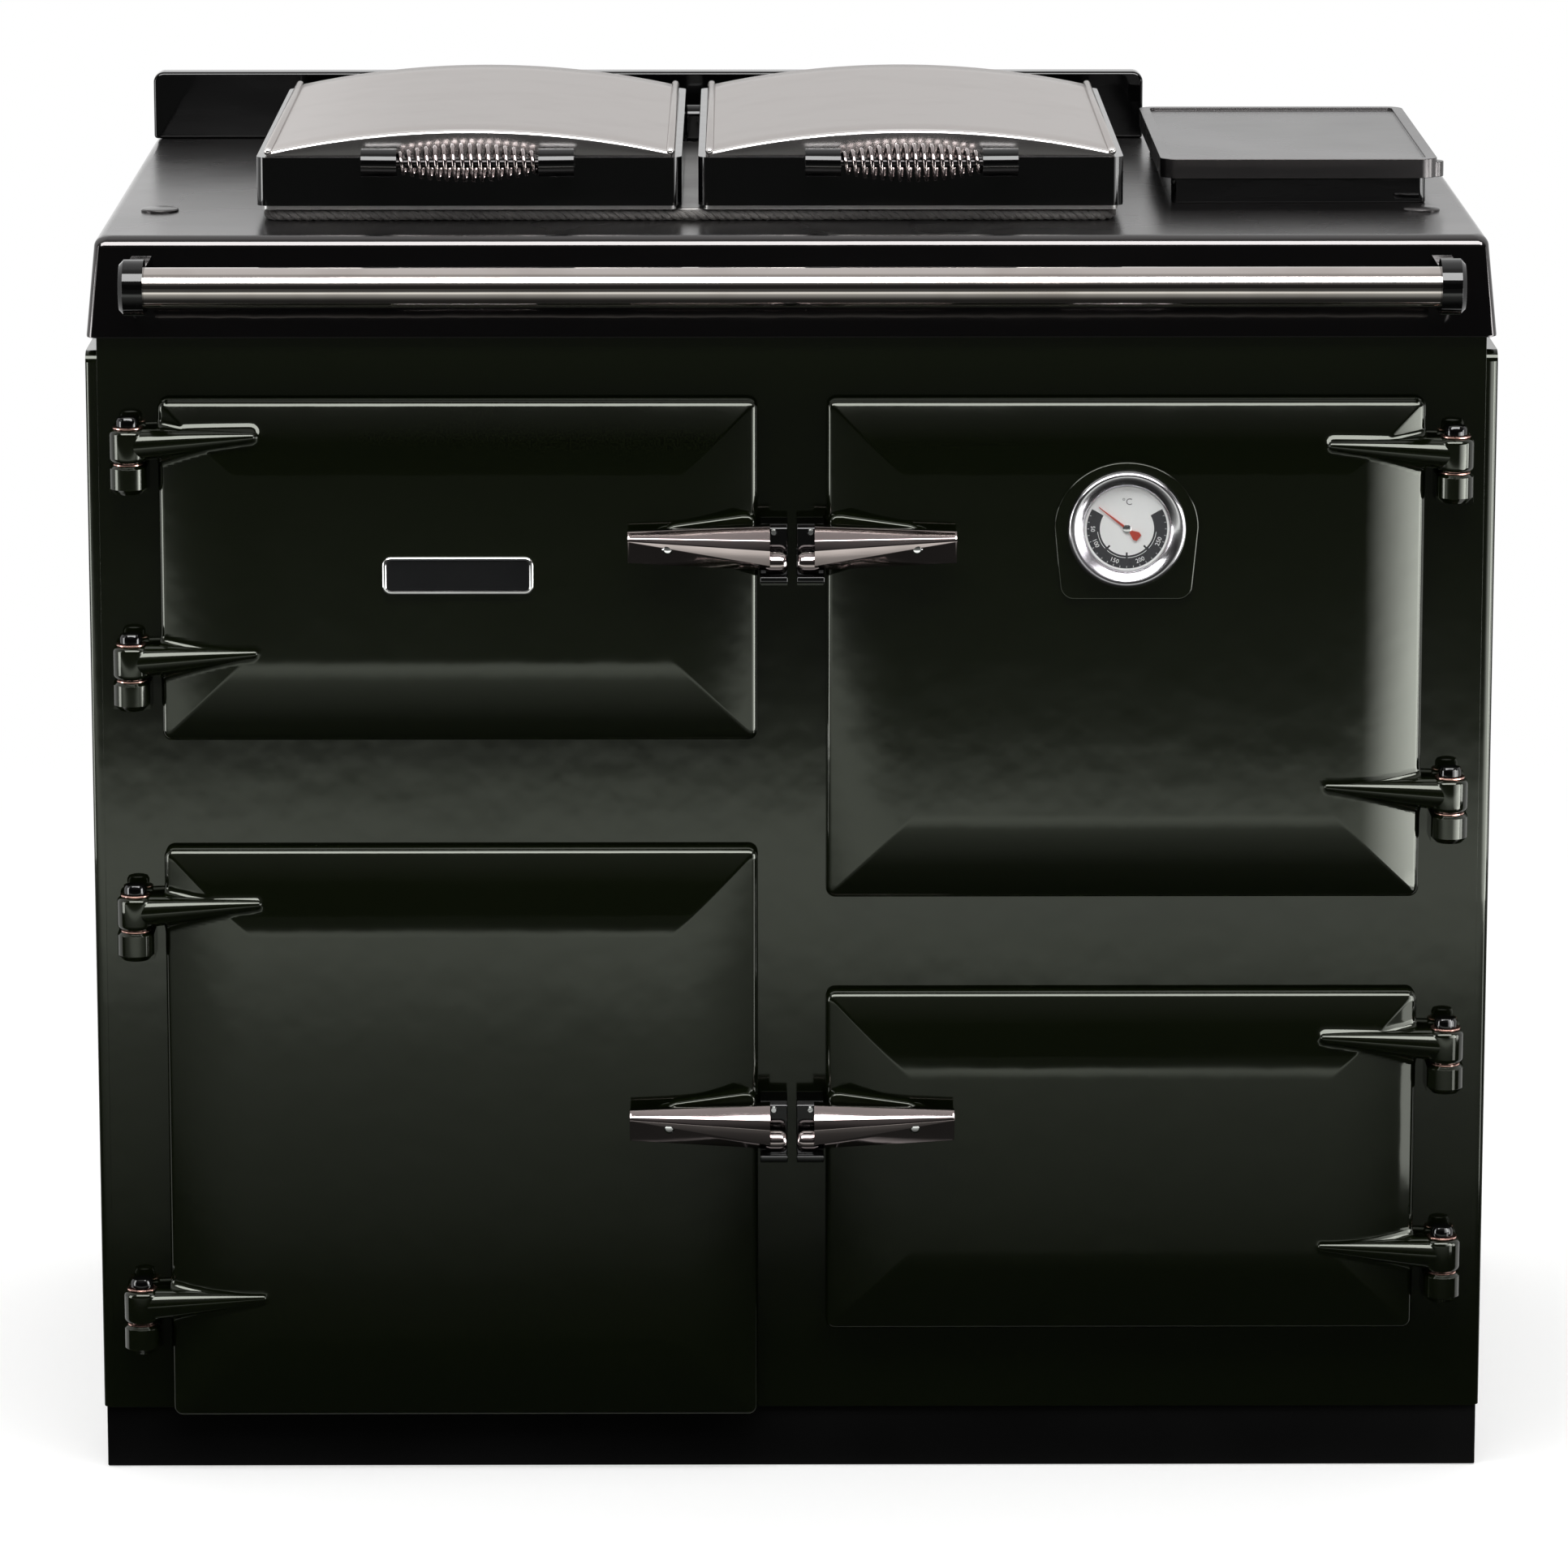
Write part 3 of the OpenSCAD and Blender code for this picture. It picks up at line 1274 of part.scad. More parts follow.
module arch(half, radius, y0, y1, base, extra) {
    crown = frame_top_z + dome_side_h + dome_rise;
    intersection() {
        translate([-half, y0, base]) cube([2 * half, y1 - y0, crown - base + 1]);
        bar_y(0, y0, y1, frame_top_z + dome_side_h + dome_rise - radius - (extra > 0 ? dome_t : 0), 2 * radius,
            $fn = 180);
    }
}

// Pan with insulation that fills the frame
module lid_liner(x) {
    color(steel) in_cabinet() translate([x, 0, 0]) {
        translate([0, 0, lid_z - liner_drop]) linear_extrude(liner_drop)
            lid_outline(liner_inset, lid_back_wall - 1);
        translate([0, 0, lid_z - 1]) linear_extrude(lid_frame_h - 2)
            lid_outline(lid_wall + free_gap, lid_back_wall + free_gap);
    }
}

// Centre line of a coiled handle: curls that widen to the middle, with both ends turned along the axis
coil_r_end = (coil_end_d - coil_wire_d) / 2;
coil_r_mid = (coil_mid_d - coil_wire_d) / 2;
coil_bend_r = 2.4;
coil_half = coil_len / 2 - free_gap - coil_wire_d - coil_bend_r;
coil_rings = 8;
coil_steps = coil_curls * coil_rings;
bend_steps = 4;
function coil_radius(x) = coil_r_end + (coil_r_mid - coil_r_end) * pow(cos(90 * x / coil_half), 0.8);
function coil_point(i) = let (x = coil_half * (2 * i / coil_steps - 1), a = 360 * i / coil_rings,
    r = coil_radius(min(max(x, -coil_half), coil_half))) [x, r * cos(a), r * sin(a)];
function unit(v) = v / norm(v);
function out(i) = [0, cos(360 * i / coil_rings), sin(360 * i / coil_rings)];
function along(i) = let (a = 360 * i / coil_rings) unit([0, -sin(a), cos(a)]
    + [coil_half * 2 / coil_steps / (coil_radius(coil_point(i).x) * 2 * PI / coil_rings), 0, 0]);
// The bend at each end, from the last curl's direction to the axis
function end_bend(last) = let (i = last ? coil_steps : 0, p = coil_point(i), s = last ? 1 : -1,
        t = s * unit([0, along(i).y, along(i).z]), n = [s, 0, 0])
    [for (k = [0 : bend_steps]) let (a = 90 * k / bend_steps)
        [p + coil_bend_r * (sin(a) * t + (1 - cos(a)) * n), cos(a) * t + sin(a) * n, out(i)]];
function end_run(last) = let (b = end_bend(last)[bend_steps]) [[b[0] + coil_wire_d * b[1], b[1], b[2]]];
function flipped(frames) = [for (i = [len(frames) - 1 : -1 : 0]) [frames[i][0], -frames[i][1], frames[i][2]]];
coil_path = concat(flipped(end_run(false)), flipped(end_bend(false)),
    [for (i = [1 : coil_steps - 1]) [coil_point(i), along(i), out(i)]], end_bend(true), end_run(true));

// Least distance between the wire's surfaces, on points more than half a curl apart
function coil_gap() = min([for (i = [0 : len(coil_path) - 1], j = [i + coil_rings / 2 + 1 : 1 : len(coil_path) - 1])
    norm(coil_path[i][0] - coil_path[j][0])]) - coil_wire_d;
echo(least_gap_of_the_coil_to_itself = coil_gap());

module tube(frames, d, sides) {
    points = [for (f = frames, k = [0 : sides - 1]) let (a = 360 * k / sides)
        f[0] + d / 2 * (cos(a) * f[2] + sin(a) * cross(f[1], f[2]))];
    n = len(frames);
    walls = [for (i = [0 : n - 2], k = [0 : sides - 1]) let (a = i * sides + k, b = i * sides + (k + 1) % sides)
        each [[a, b + sides, b], [a, a + sides, b + sides]]];
    low = [for (k = [1 : sides - 2]) [0, k, k + 1]];
    high = [for (k = [1 : sides - 2]) [(n - 1) * sides, (n - 1) * sides + k + 1, (n - 1) * sides + k]];
    polyhedron(points = points, faces = concat(walls, low, high));
}

module lid_handle_coil(x) {
    color(chrome) in_cabinet() translate([x, coil_y, coil_z]) tube(coil_path, coil_wire_d, 6);
}

module lid_handle_rod(x) {
    reach = coil_len / 2 + 8 - free_gap;
    color(steel) in_cabinet() bar_x(x - reach, x + reach, coil_y, coil_z, coil_rod_d);
}

module left_lid_frame() {
    lid_frame(left_lid_x, 1);
}
module left_lid_dome() {
    lid_dome(left_lid_x);
}
module left_lid_liner() {
    lid_liner(left_lid_x);
}
module left_lid_handle_coil() {
    lid_handle_coil(left_lid_x);
}
module left_lid_handle_rod() {
    lid_handle_rod(left_lid_x);
}
module right_lid_frame() {
    lid_frame(right_lid_x, -1);
}
module right_lid_dome() {
    lid_dome(right_lid_x);
}
module right_lid_liner() {
    lid_liner(right_lid_x);
}
module right_lid_handle_coil() {
    lid_handle_coil(right_lid_x);
}
module right_lid_handle_rod() {
    lid_handle_rod(right_lid_x);
}

// Block between the lids at the back, with a pin into each lid
module lid_hinge() {
    w = lid_gap - 2 * free_gap;
    depth = hinge_block_depth;
    color(black) in_cabinet() translate([-lid_pair_x, 0, 0]) {
        translate([-w / 2, lid_pin_y - depth / 2, top_z]) cube([w, depth, hinge_block_h - depth / 2]);
        bar_x(-w / 2, w / 2, lid_pin_y, top_z + hinge_block_h - depth / 2, depth);
        bar_x(-lid_gap / 2 - lid_pin_len, lid_gap / 2 + lid_pin_len, lid_pin_y, lid_pin_z, lid_pin_d);
    }
}

plinth();
front_plate();
left_side_panel();
right_side_panel();
back_panel();
back_panel_screws();
top_plate();
splashback();
top_plate_plugs();
flue_chamber();
flue_cover();
flue_spigot();
towel_rail();
rail_brackets();
hotplate();
hotplate_rope_seal();
main_oven_box();
main_oven_shelf();
lower_oven_box();
lower_oven_shelf();
boiler_body();
burner();
control_panel();
oven_knob();
boiler_knob();
hinge_lugs();
hinge_pins();
door_catches();
lid_hinge();
upper_left_door();
upper_left_liner();
upper_left_rope_seal();
upper_left_handle();
lower_left_door();
lower_left_liner();
lower_left_rope_seal();
lower_left_handle();
upper_right_door();
upper_right_liner();
upper_right_rope_seal();
upper_right_handle();
lower_right_door();
lower_right_liner();
lower_right_rope_seal();
lower_right_handle();
thermometer_case();
thermometer_dial();
thermometer_pointer();
thermometer_glass();
door_badge();
left_lid_frame();
left_lid_dome();
left_lid_liner();
left_lid_handle_coil();
left_lid_handle_rod();
right_lid_frame();
right_lid_dome();
right_lid_liner();
right_lid_handle_coil();
right_lid_handle_rod();
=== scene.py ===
"""Dressing of the cast iron range cooker: shapes, finishes, studio and camera.

Sizes are in millimetres from the cooker's middle line, the front plate's face and the floor,
until Workshop.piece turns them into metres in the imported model's frame.
"""
from __future__ import annotations

import logging
import math
from dataclasses import dataclass, field
from enum import Enum
from typing import Callable, Iterable, Optional, Sequence

import bmesh
import bpy
from mathutils import Matrix, Vector

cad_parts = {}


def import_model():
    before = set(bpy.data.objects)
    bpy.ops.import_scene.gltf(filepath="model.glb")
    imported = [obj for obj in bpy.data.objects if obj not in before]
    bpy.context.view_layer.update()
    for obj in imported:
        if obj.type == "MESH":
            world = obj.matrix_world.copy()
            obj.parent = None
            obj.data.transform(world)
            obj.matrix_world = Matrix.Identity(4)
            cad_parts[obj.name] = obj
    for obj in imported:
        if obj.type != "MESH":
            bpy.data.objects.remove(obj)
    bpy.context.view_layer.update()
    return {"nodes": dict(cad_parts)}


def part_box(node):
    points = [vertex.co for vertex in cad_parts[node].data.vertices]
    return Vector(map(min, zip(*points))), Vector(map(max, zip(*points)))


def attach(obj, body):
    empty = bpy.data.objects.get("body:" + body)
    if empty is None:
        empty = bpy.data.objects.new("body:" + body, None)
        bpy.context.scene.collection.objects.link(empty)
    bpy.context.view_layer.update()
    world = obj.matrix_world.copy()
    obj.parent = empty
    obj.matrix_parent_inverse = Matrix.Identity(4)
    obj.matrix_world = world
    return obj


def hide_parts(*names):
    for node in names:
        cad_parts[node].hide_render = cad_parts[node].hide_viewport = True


LOG = logging.getLogger("range_cooker")
MM = 0.001
Point = tuple[float, float, float]
Section = Sequence[tuple[float, float]]
Socket = bpy.types.NodeSocket
EditMesh = bmesh.types.BMesh


# ---------- Node helpers ----------


class Wiring:
    """Adds nodes to a tree and joins them with short calls."""

    def __init__(self, tree: bpy.types.NodeTree) -> None:
        """Keeps the shader or geometry tree that gets the nodes."""
        self.tree = tree

    def add(self, kind: str, inputs: Optional[dict] = None, **settings: object) -> bpy.types.Node:
        """Adds one node.

        Args:
            kind: The node's type name.
            inputs: Values or output sockets, by the input's name or number.
            settings: The node's own properties.

        Returns:
            The new node.
        """
        node = self.tree.nodes.new(kind)
        for key, value in settings.items():
            setattr(node, key, value)
        for key, value in (inputs or {}).items():
            socket = node.inputs[key]
            if isinstance(value, Socket):
                self.tree.links.new(value, socket)
            else:
                socket.default_value = value
        return node

    def math(self, operation: str, *values: object) -> Socket:
        """Adds a Math node for the values and returns its result."""
        return self.add("ShaderNodeMath", dict(enumerate(values)), operation=operation).outputs[0]

    def vector(self, operation: str, first: object, second: object) -> Socket:
        """Adds a Vector Math node; the second value of SCALE is its factor."""
        key = "Scale" if operation == "SCALE" else 1
        return self.add("ShaderNodeVectorMath", {0: first, key: second}, operation=operation).outputs[0]

    def xyz(self, x: object = 0.0, y: object = 0.0, z: object = 0.0) -> Socket:
        """Joins three values to a vector."""
        return self.add("ShaderNodeCombineXYZ", {0: x, 1: y, 2: z}).outputs[0]

    def axis(self, vector: Socket, number: int) -> Socket:
        """Takes one value, 0 to 2, out of a vector."""
        return self.add("ShaderNodeSeparateXYZ", {0: vector}).outputs[number]

    def around(self, radius: Socket, angle: Socket) -> tuple[Socket, Socket]:
        """Both coordinates of a point at an angle on a circle."""
        return (self.math("MULTIPLY", radius, self.math("COSINE", angle)),
                self.math("MULTIPLY", radius, self.math("SINE", angle)))

    def span(self, value: Socket, start: float, end: float, low: float = 0.0, high: float = 1.0) -> Socket:
        """Maps start to end onto low to high, and holds the end values outside."""
        return self.add("ShaderNodeMapRange", {0: value, 1: start, 2: end, 3: low, 4: high}).outputs[0]

    def noise(self, where: Socket, scale: object, detail: float) -> Socket:
        """Adds a noise texture and returns its height."""
        return self.add("ShaderNodeTexNoise", {"Vector": where, "Scale": scale, "Detail": detail}).outputs[0]

    def link(self, source: Socket, target: Socket) -> None:
        """Joins two sockets."""
        self.tree.links.new(source, target)


def fresh_wiring(owner: bpy.types.ID) -> Wiring:
    """Clears the nodes of a new material or world and returns their wiring."""
    owner.use_nodes = True
    owner.node_tree.nodes.clear()
    return Wiring(owner.node_tree)


def shader_group(name: str, inputs: dict[str, float], outputs: Sequence[str],
                 build: Callable[[Wiring, dict, dict], None]) -> bpy.types.NodeTree:
    """Makes a shader node group with a Vector input and float outputs.

    Args:
        name: The group's name.
        inputs: Names and default values of its float inputs.
        outputs: Names of its float outputs.
        build: Fills the group; it gets the wiring, the input sockets and the output sockets.

    Returns:
        The group.
    """
    tree = bpy.data.node_groups.new(name, "ShaderNodeTree")
    tree.interface.new_socket("Vector", in_out="INPUT", socket_type="NodeSocketVector")
    for key, value in inputs.items():
        tree.interface.new_socket(key, in_out="INPUT", socket_type="NodeSocketFloat").default_value = value
    for key in outputs:
        tree.interface.new_socket(key, in_out="OUTPUT", socket_type="NodeSocketFloat")
    wiring = Wiring(tree)
    source = wiring.add("NodeGroupInput")
    sink = wiring.add("NodeGroupOutput")
    build(wiring, {s.name: s for s in source.outputs if s.name}, {s.name: s for s in sink.inputs if s.name})
    return tree


class Effects:
    """Shader node groups that several finishes use."""

    def __init__(self) -> None:
        """Builds every group once."""
        self.fired = shader_group("fired_enamel", {"Ripple scale": 45.0, "Speck scale": 900.0},
                                  ("Ripple", "Speck", "Haze"), self._fired)
        self.hairlines = shader_group("hairline_polish", {"Scale": 160.0, "Stretch": 0.04},
                                      ("Lines", "Smudge"), self._hairlines)
        self.cast = shader_group("cast_grain", {"Scale": 320.0}, ("Grain", "Patches"), self._cast)
        self.woven = shader_group("woven_yarn", {"Scale": 900.0}, ("Yarn", "Soot"), self._woven)

    @staticmethod
    def _fired(w: Wiring, i: dict, o: dict) -> None:
        """Slow ripple of fired glass, fine specks and faint hazy patches."""
        w.link(w.noise(i["Vector"], i["Ripple scale"], 1.5), o["Ripple"])
        w.link(w.span(w.noise(i["Vector"], i["Speck scale"], 2.0), 0.52, 0.72), o["Speck"])
        w.link(w.span(w.noise(i["Vector"], 5.5, 3.0), 0.35, 0.7), o["Haze"])

    @staticmethod
    def _hairlines(w: Wiring, i: dict, o: dict) -> None:
        """Fine lines drawn out along X, and soft finger smudges."""
        drawn = w.vector("MULTIPLY", i["Vector"], w.xyz(i["Stretch"], 1.0, 1.0))
        w.link(w.noise(drawn, i["Scale"], 3.0), o["Lines"])
        w.link(w.span(w.noise(i["Vector"], 18.0, 2.0), 0.45, 0.75), o["Smudge"])

    @staticmethod
    def _cast(w: Wiring, i: dict, o: dict) -> None:
        """Sand-cast grain with darker patches."""
        grain = w.noise(i["Vector"], i["Scale"], 5.0)
        pits = w.add("ShaderNodeTexVoronoi", {"Vector": i["Vector"], "Scale": i["Scale"]})
        w.link(w.math("MULTIPLY_ADD", pits.outputs[0], 0.35, grain), o["Grain"])
        w.link(w.span(w.noise(i["Vector"], 9.0, 4.0), 0.35, 0.65), o["Patches"])

    @staticmethod
    def _woven(w: Wiring, i: dict, o: dict) -> None:
        """Fine crossing yarns and sooty patches."""
        across = w.add("ShaderNodeTexWave", {"Vector": i["Vector"], "Scale": i["Scale"], "Distortion": 1.5},
                       bands_direction="DIAGONAL")
        w.link(across.outputs[1], o["Yarn"])
        w.link(w.span(w.noise(i["Vector"], 14.0, 4.0), 0.4, 0.7), o["Soot"])


# ---------- Finishes ----------


class Finish:
    """A finish that makes its material once."""

    name: str

    def material(self, effects: Effects) -> bpy.types.Material:
        """Returns the finish's material, made on first use.

        Args:
            effects: The shared shader groups.

        Returns:
            The material.
        """
        made = bpy.data.materials.get(self.name)
        if made is None:
            made = bpy.data.materials.new(self.name)
            wiring = fresh_wiring(made)
            shader = wiring.add("ShaderNodeBsdfPrincipled")
            wiring.add("ShaderNodeOutputMaterial", {"Surface": shader.outputs[0]})
            where = wiring.add("ShaderNodeTexCoord").outputs["Object"]
            self.fill(wiring, shader, where, effects)
        return made

    def fill(self, w: Wiring, shader: bpy.types.Node, where: Socket, effects: Effects) -> None:
        """Adds the finish's own nodes.

        Args:
            w: Wiring of the material's tree.
            shader: The Principled node.
            where: Object coordinates.
            effects: The shared shader groups.
        """
        raise NotImplementedError


def use_group(w: Wiring, group: bpy.types.NodeTree, inputs: dict) -> bpy.types.NodeOutputs:
    """Places a shader group with its values and returns its outputs."""
    return w.add("ShaderNodeGroup", inputs, node_tree=group).outputs


def blend_colour(w: Wiring, factor: Socket, a: Point, b: Point) -> Socket:
    """Mixes two colours by a mask and returns the result."""
    mix = w.add("ShaderNodeMix", {0: factor, 6: (*a, 1.0), 7: (*b, 1.0)}, data_type="RGBA")
    return mix.outputs[2]


def bump(w: Wiring, shader: bpy.types.Node, height: Socket, strength: float, depth: float) -> None:
    """Feeds a height through a Bump node into the shader's normal."""
    node = w.add("ShaderNodeBump", {"Height": height, "Strength": strength, "Distance": depth})
    w.link(node.outputs[0], shader.inputs["Normal"])


@dataclass(frozen=True)
class Enamel(Finish):
    """Vitreous enamel on cast iron: dark glass with a faint ripple."""

    name: str
    colour: Point
    speck: Point
    gloss: tuple[float, float] = (0.05, 0.11)
    ior: float = 1.45
    tint: Point = (1.0, 1.0, 1.0)
    flat_gloss: float = 0.0
    flat_z: tuple[float, float] = (0.8905, 0.8925)

    def fill(self, w: Wiring, shader: bpy.types.Node, where: Socket, effects: Effects) -> None:
        """Dark glassy colour with specks, haze and ripple, rougher by flat_gloss over flat_z."""
        fired = use_group(w, effects.fired, {"Vector": where, "Ripple scale": 38.0, "Speck scale": 1100.0})
        w.link(blend_colour(w, fired["Speck"], self.colour, self.speck), shader.inputs["Base Color"])
        worn = w.span(w.axis(where, 2), *self.flat_z, 0.0, self.flat_gloss)
        w.link(w.math("ADD", w.span(fired["Haze"], 0.0, 1.0, *self.gloss), worn), shader.inputs["Roughness"])
        shader.inputs["IOR"].default_value = self.ior
        shader.inputs["Specular Tint"].default_value = (*self.tint, 1.0)
        bump(w, shader, fired["Ripple"], 0.10, depth=0.0012)


@dataclass(frozen=True)
class Polish(Finish):
    """Plated or polished metal with hairlines and faint smudges."""

    name: str
    colour: Point
    dull: Point
    gloss: tuple[float, float] = (0.04, 0.13)
    lines: float = 0.03
    stretch: float = 0.04
    edge: Point = (1.0, 1.0, 1.0)

    def fill(self, w: Wiring, shader: bpy.types.Node, where: Socket, effects: Effects) -> None:
        """Metal with drawn hairlines and smudges; see Finish.fill."""
        hair = use_group(w, effects.hairlines, {"Vector": where, "Scale": 420.0, "Stretch": self.stretch})
        w.link(blend_colour(w, hair["Smudge"], self.colour, self.dull), shader.inputs["Base Color"])
        w.link(w.span(hair["Smudge"], 0.0, 1.0, *self.gloss), shader.inputs["Roughness"])
        shader.inputs["Metallic"].default_value = 1.0
        shader.inputs["Specular Tint"].default_value = (*self.edge, 1.0)
        bump(w, shader, hair["Lines"], self.lines, depth=0.0004)


@dataclass(frozen=True)
class CastIron(Finish):
    """Bare or blackened cast iron with a sandy grain."""

    name: str
    colour: Point
    patch: Point
    gloss: tuple[float, float] = (0.45, 0.62)
    metal: float = 0.6
    grain: float = 0.5

    def fill(self, w: Wiring, shader: bpy.types.Node, where: Socket, effects: Effects) -> None:
        """Grainy metal with patches; see Finish.fill."""
        cast = use_group(w, effects.cast, {"Vector": where, "Scale": 420.0})
        w.link(blend_colour(w, cast["Patches"], self.colour, self.patch), shader.inputs["Base Color"])
        w.link(w.span(cast["Patches"], 0.0, 1.0, *self.gloss), shader.inputs["Roughness"])
        shader.inputs["Metallic"].default_value = self.metal
        bump(w, shader, cast["Grain"], self.grain, depth=0.0006)


@dataclass(frozen=True)
class Yarn(Finish):
    """Braided glass yarn, a little sooty."""

    name: str
    colour: Point
    soot: Point

    def fill(self, w: Wiring, shader: bpy.types.Node, where: Socket, effects: Effects) -> None:
        """Matt fibre with yarn bump and soot; see Finish.fill."""
        woven = use_group(w, effects.woven, {"Vector": where, "Scale": 420.0})
        w.link(blend_colour(w, woven["Soot"], self.colour, self.soot), shader.inputs["Base Color"])
        w.link(w.span(woven["Yarn"], 0.0, 1.0, 0.95, 0.75), shader.inputs["Roughness"])
        shader.inputs["Sheen Weight"].default_value = 0.3
        bump(w, shader, woven["Yarn"], 0.6, depth=0.0006)


@dataclass(frozen=True)
class Paint(Finish):
    """Satin paint, print or moulded plastic with a slight mottle."""

    name: str
    colour: Point
    mottle: Point
    gloss: tuple[float, float] = (0.35, 0.5)
    grain: float = 0.05
    shine: float = 0.5

    def fill(self, w: Wiring, shader: bpy.types.Node, where: Socket, effects: Effects) -> None:
        """Satin surface with a faint orange peel; see Finish.fill."""
        fired = use_group(w, effects.fired, {"Vector": where, "Ripple scale": 700.0, "Speck scale": 1500.0})
        w.link(blend_colour(w, fired["Speck"], self.colour, self.mottle), shader.inputs["Base Color"])
        w.link(w.span(fired["Haze"], 0.0, 1.0, *self.gloss), shader.inputs["Roughness"])
        shader.inputs["Specular IOR Level"].default_value = self.shine
        bump(w, shader, fired["Ripple"], self.grain, depth=0.0004)


@dataclass(frozen=True)
class ClearGlass(Finish):
    """Thin clear glass of the thermometer."""

    name: str

    def fill(self, w: Wiring, shader: bpy.types.Node, where: Socket, effects: Effects) -> None:
        """Nearly invisible sheet with a plain gloss; see Finish.fill."""
        fired = use_group(w, effects.fired, {"Vector": where, "Ripple scale": 30.0, "Speck scale": 800.0})
        w.link(w.span(fired["Haze"], 0.0, 1.0, 0.01, 0.05), shader.inputs["Roughness"])
        shader.inputs["Base Color"].default_value = (0.8, 0.85, 0.86, 1.0)
        w.link(w.span(fired["Speck"], 0.0, 1.0, 0.015, 0.03), shader.inputs["Alpha"])


class Dress(Enum):
    """The cooker's finishes, each with the material slot that it stands for."""

    DOOR_ENAMEL = (Enamel("fired_green_black", (0.0034, 0.0050, 0.0014), (0.0062, 0.0082, 0.0036),
                          tint=(0.96, 1.0, 0.89)), "green_enamel")
    TOP_ENAMEL = (Enamel("fired_jet_black", (0.0012, 0.0012, 0.0013), (0.0026, 0.0026, 0.0027), (0.04, 0.09)),
                  "black_enamel")
    TOP_PLATE = (Enamel("fired_top_black", (0.0012, 0.0011, 0.0012), (0.0026, 0.0024, 0.0026),
                        (0.05, 0.10), 1.7, (1.0, 0.95, 0.95), 0.2), "black_enamel")
    OVEN_ENAMEL = (Enamel("fired_oven_black", (0.010, 0.010, 0.011), (0.05, 0.05, 0.055), (0.25, 0.4)),
                   "black_enamel")
    LID_CHROME = (Polish("dome_chrome", (0.70, 0.675, 0.665), (0.67, 0.645, 0.635), (0.16, 0.19), 0.02, 1.0,
                         (0.58, 0.56, 0.55)), "chrome")
    RAIL_CHROME = (Polish("rail_chrome", (0.46, 0.42, 0.40), (0.38, 0.34, 0.32), (0.05, 0.12)), "chrome")
    CHROME = (Polish("bright_chrome", (0.80, 0.80, 0.81), (0.70, 0.69, 0.68)), "chrome")
    # The handles' chrome is darkened and tinted pink: painted shade and a painted pink reflection.
    DARK_CHROME = (Polish("handle_chrome", (0.38, 0.325, 0.32), (0.31, 0.265, 0.26), (0.05, 0.12)), "chrome")
    # The springs' chrome is darkened well below plain chrome: painted shade that tones down their
    # reflections.
    SPRING_CHROME = (Polish("spring_chrome", (0.33, 0.29, 0.285), (0.27, 0.235, 0.23), (0.06, 0.12)),
                     "chrome")
    BLACKED_STEEL = (Polish("blacked_steel", (0.03, 0.028, 0.028), (0.024, 0.022, 0.022), (0.1, 0.16)),
                     "polished_steel")
    BEZEL = (Polish("bezel_chrome", (0.50, 0.49, 0.51), (0.42, 0.40, 0.43), (0.16, 0.26), 0.04), "chrome")
    # The hinge washers are chrome whose pink colour is a painted reflection.
    BRONZE = (Polish("hinge_bronze", (0.60, 0.36, 0.31), (0.42, 0.24, 0.2), (0.18, 0.3)), "polished_steel")
    STEEL = (Polish("brushed_steel", (0.60, 0.60, 0.60), (0.5, 0.5, 0.49), (0.15, 0.3), 0.08),
             "polished_steel")
    PLATED = (Polish("plated_sheet", (0.56, 0.57, 0.57), (0.53, 0.54, 0.535), (0.34, 0.40), 0.12),
              "plated_steel")
    LINER = (Polish("aluminised_sheet", (0.55, 0.55, 0.54), (0.50, 0.49, 0.47), (0.36, 0.43), 0.15), "liner")
    IRON = (CastIron("raw_cast_iron", (0.085, 0.08, 0.075), (0.05, 0.046, 0.043)), "raw_iron")
    GROUND_IRON = (CastIron("ground_hotplate", (0.20, 0.195, 0.19), (0.13, 0.125, 0.12), (0.28, 0.4),
                            0.9, 0.15), "raw_iron")
    PLINTH = (Paint("plinth_black", (0.0012, 0.0012, 0.0012), (0.0025, 0.0025, 0.0025), (0.45, 0.6),
                    0.05, 0.08), "black_enamel")
    BURNER = (CastIron("burner_die_cast", (0.45, 0.45, 0.46), (0.36, 0.36, 0.37), (0.35, 0.5), 1.0, 0.2),
              "burner_housing")
    ROPE = (Yarn("rope_yarn", (0.14, 0.13, 0.12), (0.045, 0.04, 0.037)), "rope")
    DIAL = (Paint("dial_white", (0.94, 0.95, 0.94), (0.91, 0.92, 0.91), (0.3, 0.4), 0.02), "dial")
    PRINT = (Paint("dial_print", (0.010, 0.010, 0.014), (0.016, 0.016, 0.02), (0.35, 0.45), 0.02), "dial")
    GREY_PRINT = (Paint("dial_grey_print", (0.13, 0.13, 0.14), (0.16, 0.16, 0.17), (0.35, 0.45), 0.02),
                  "dial")
    POINTER = (Paint("pointer_red", (0.50, 0.035, 0.012), (0.42, 0.03, 0.01), (0.3, 0.4), 0.02), "pointer")
    FIELD = (Enamel("plate_field", (0.004, 0.004, 0.005), (0.008, 0.008, 0.009), (0.12, 0.2)), "black_enamel")
    KNOB = (Paint("knob_black", (0.012, 0.012, 0.012), (0.02, 0.02, 0.02), (0.3, 0.42)), "knob")
    GLASS = (ClearGlass("dial_glass"), "glass")

    @property
    def finish(self) -> Finish:
        """The finish itself."""
        return self.value[0]

    @property
    def slot(self) -> str:
        """The record's material slot."""
        return self.value[1]


# ---------- Workshop: placing and dressing ----------


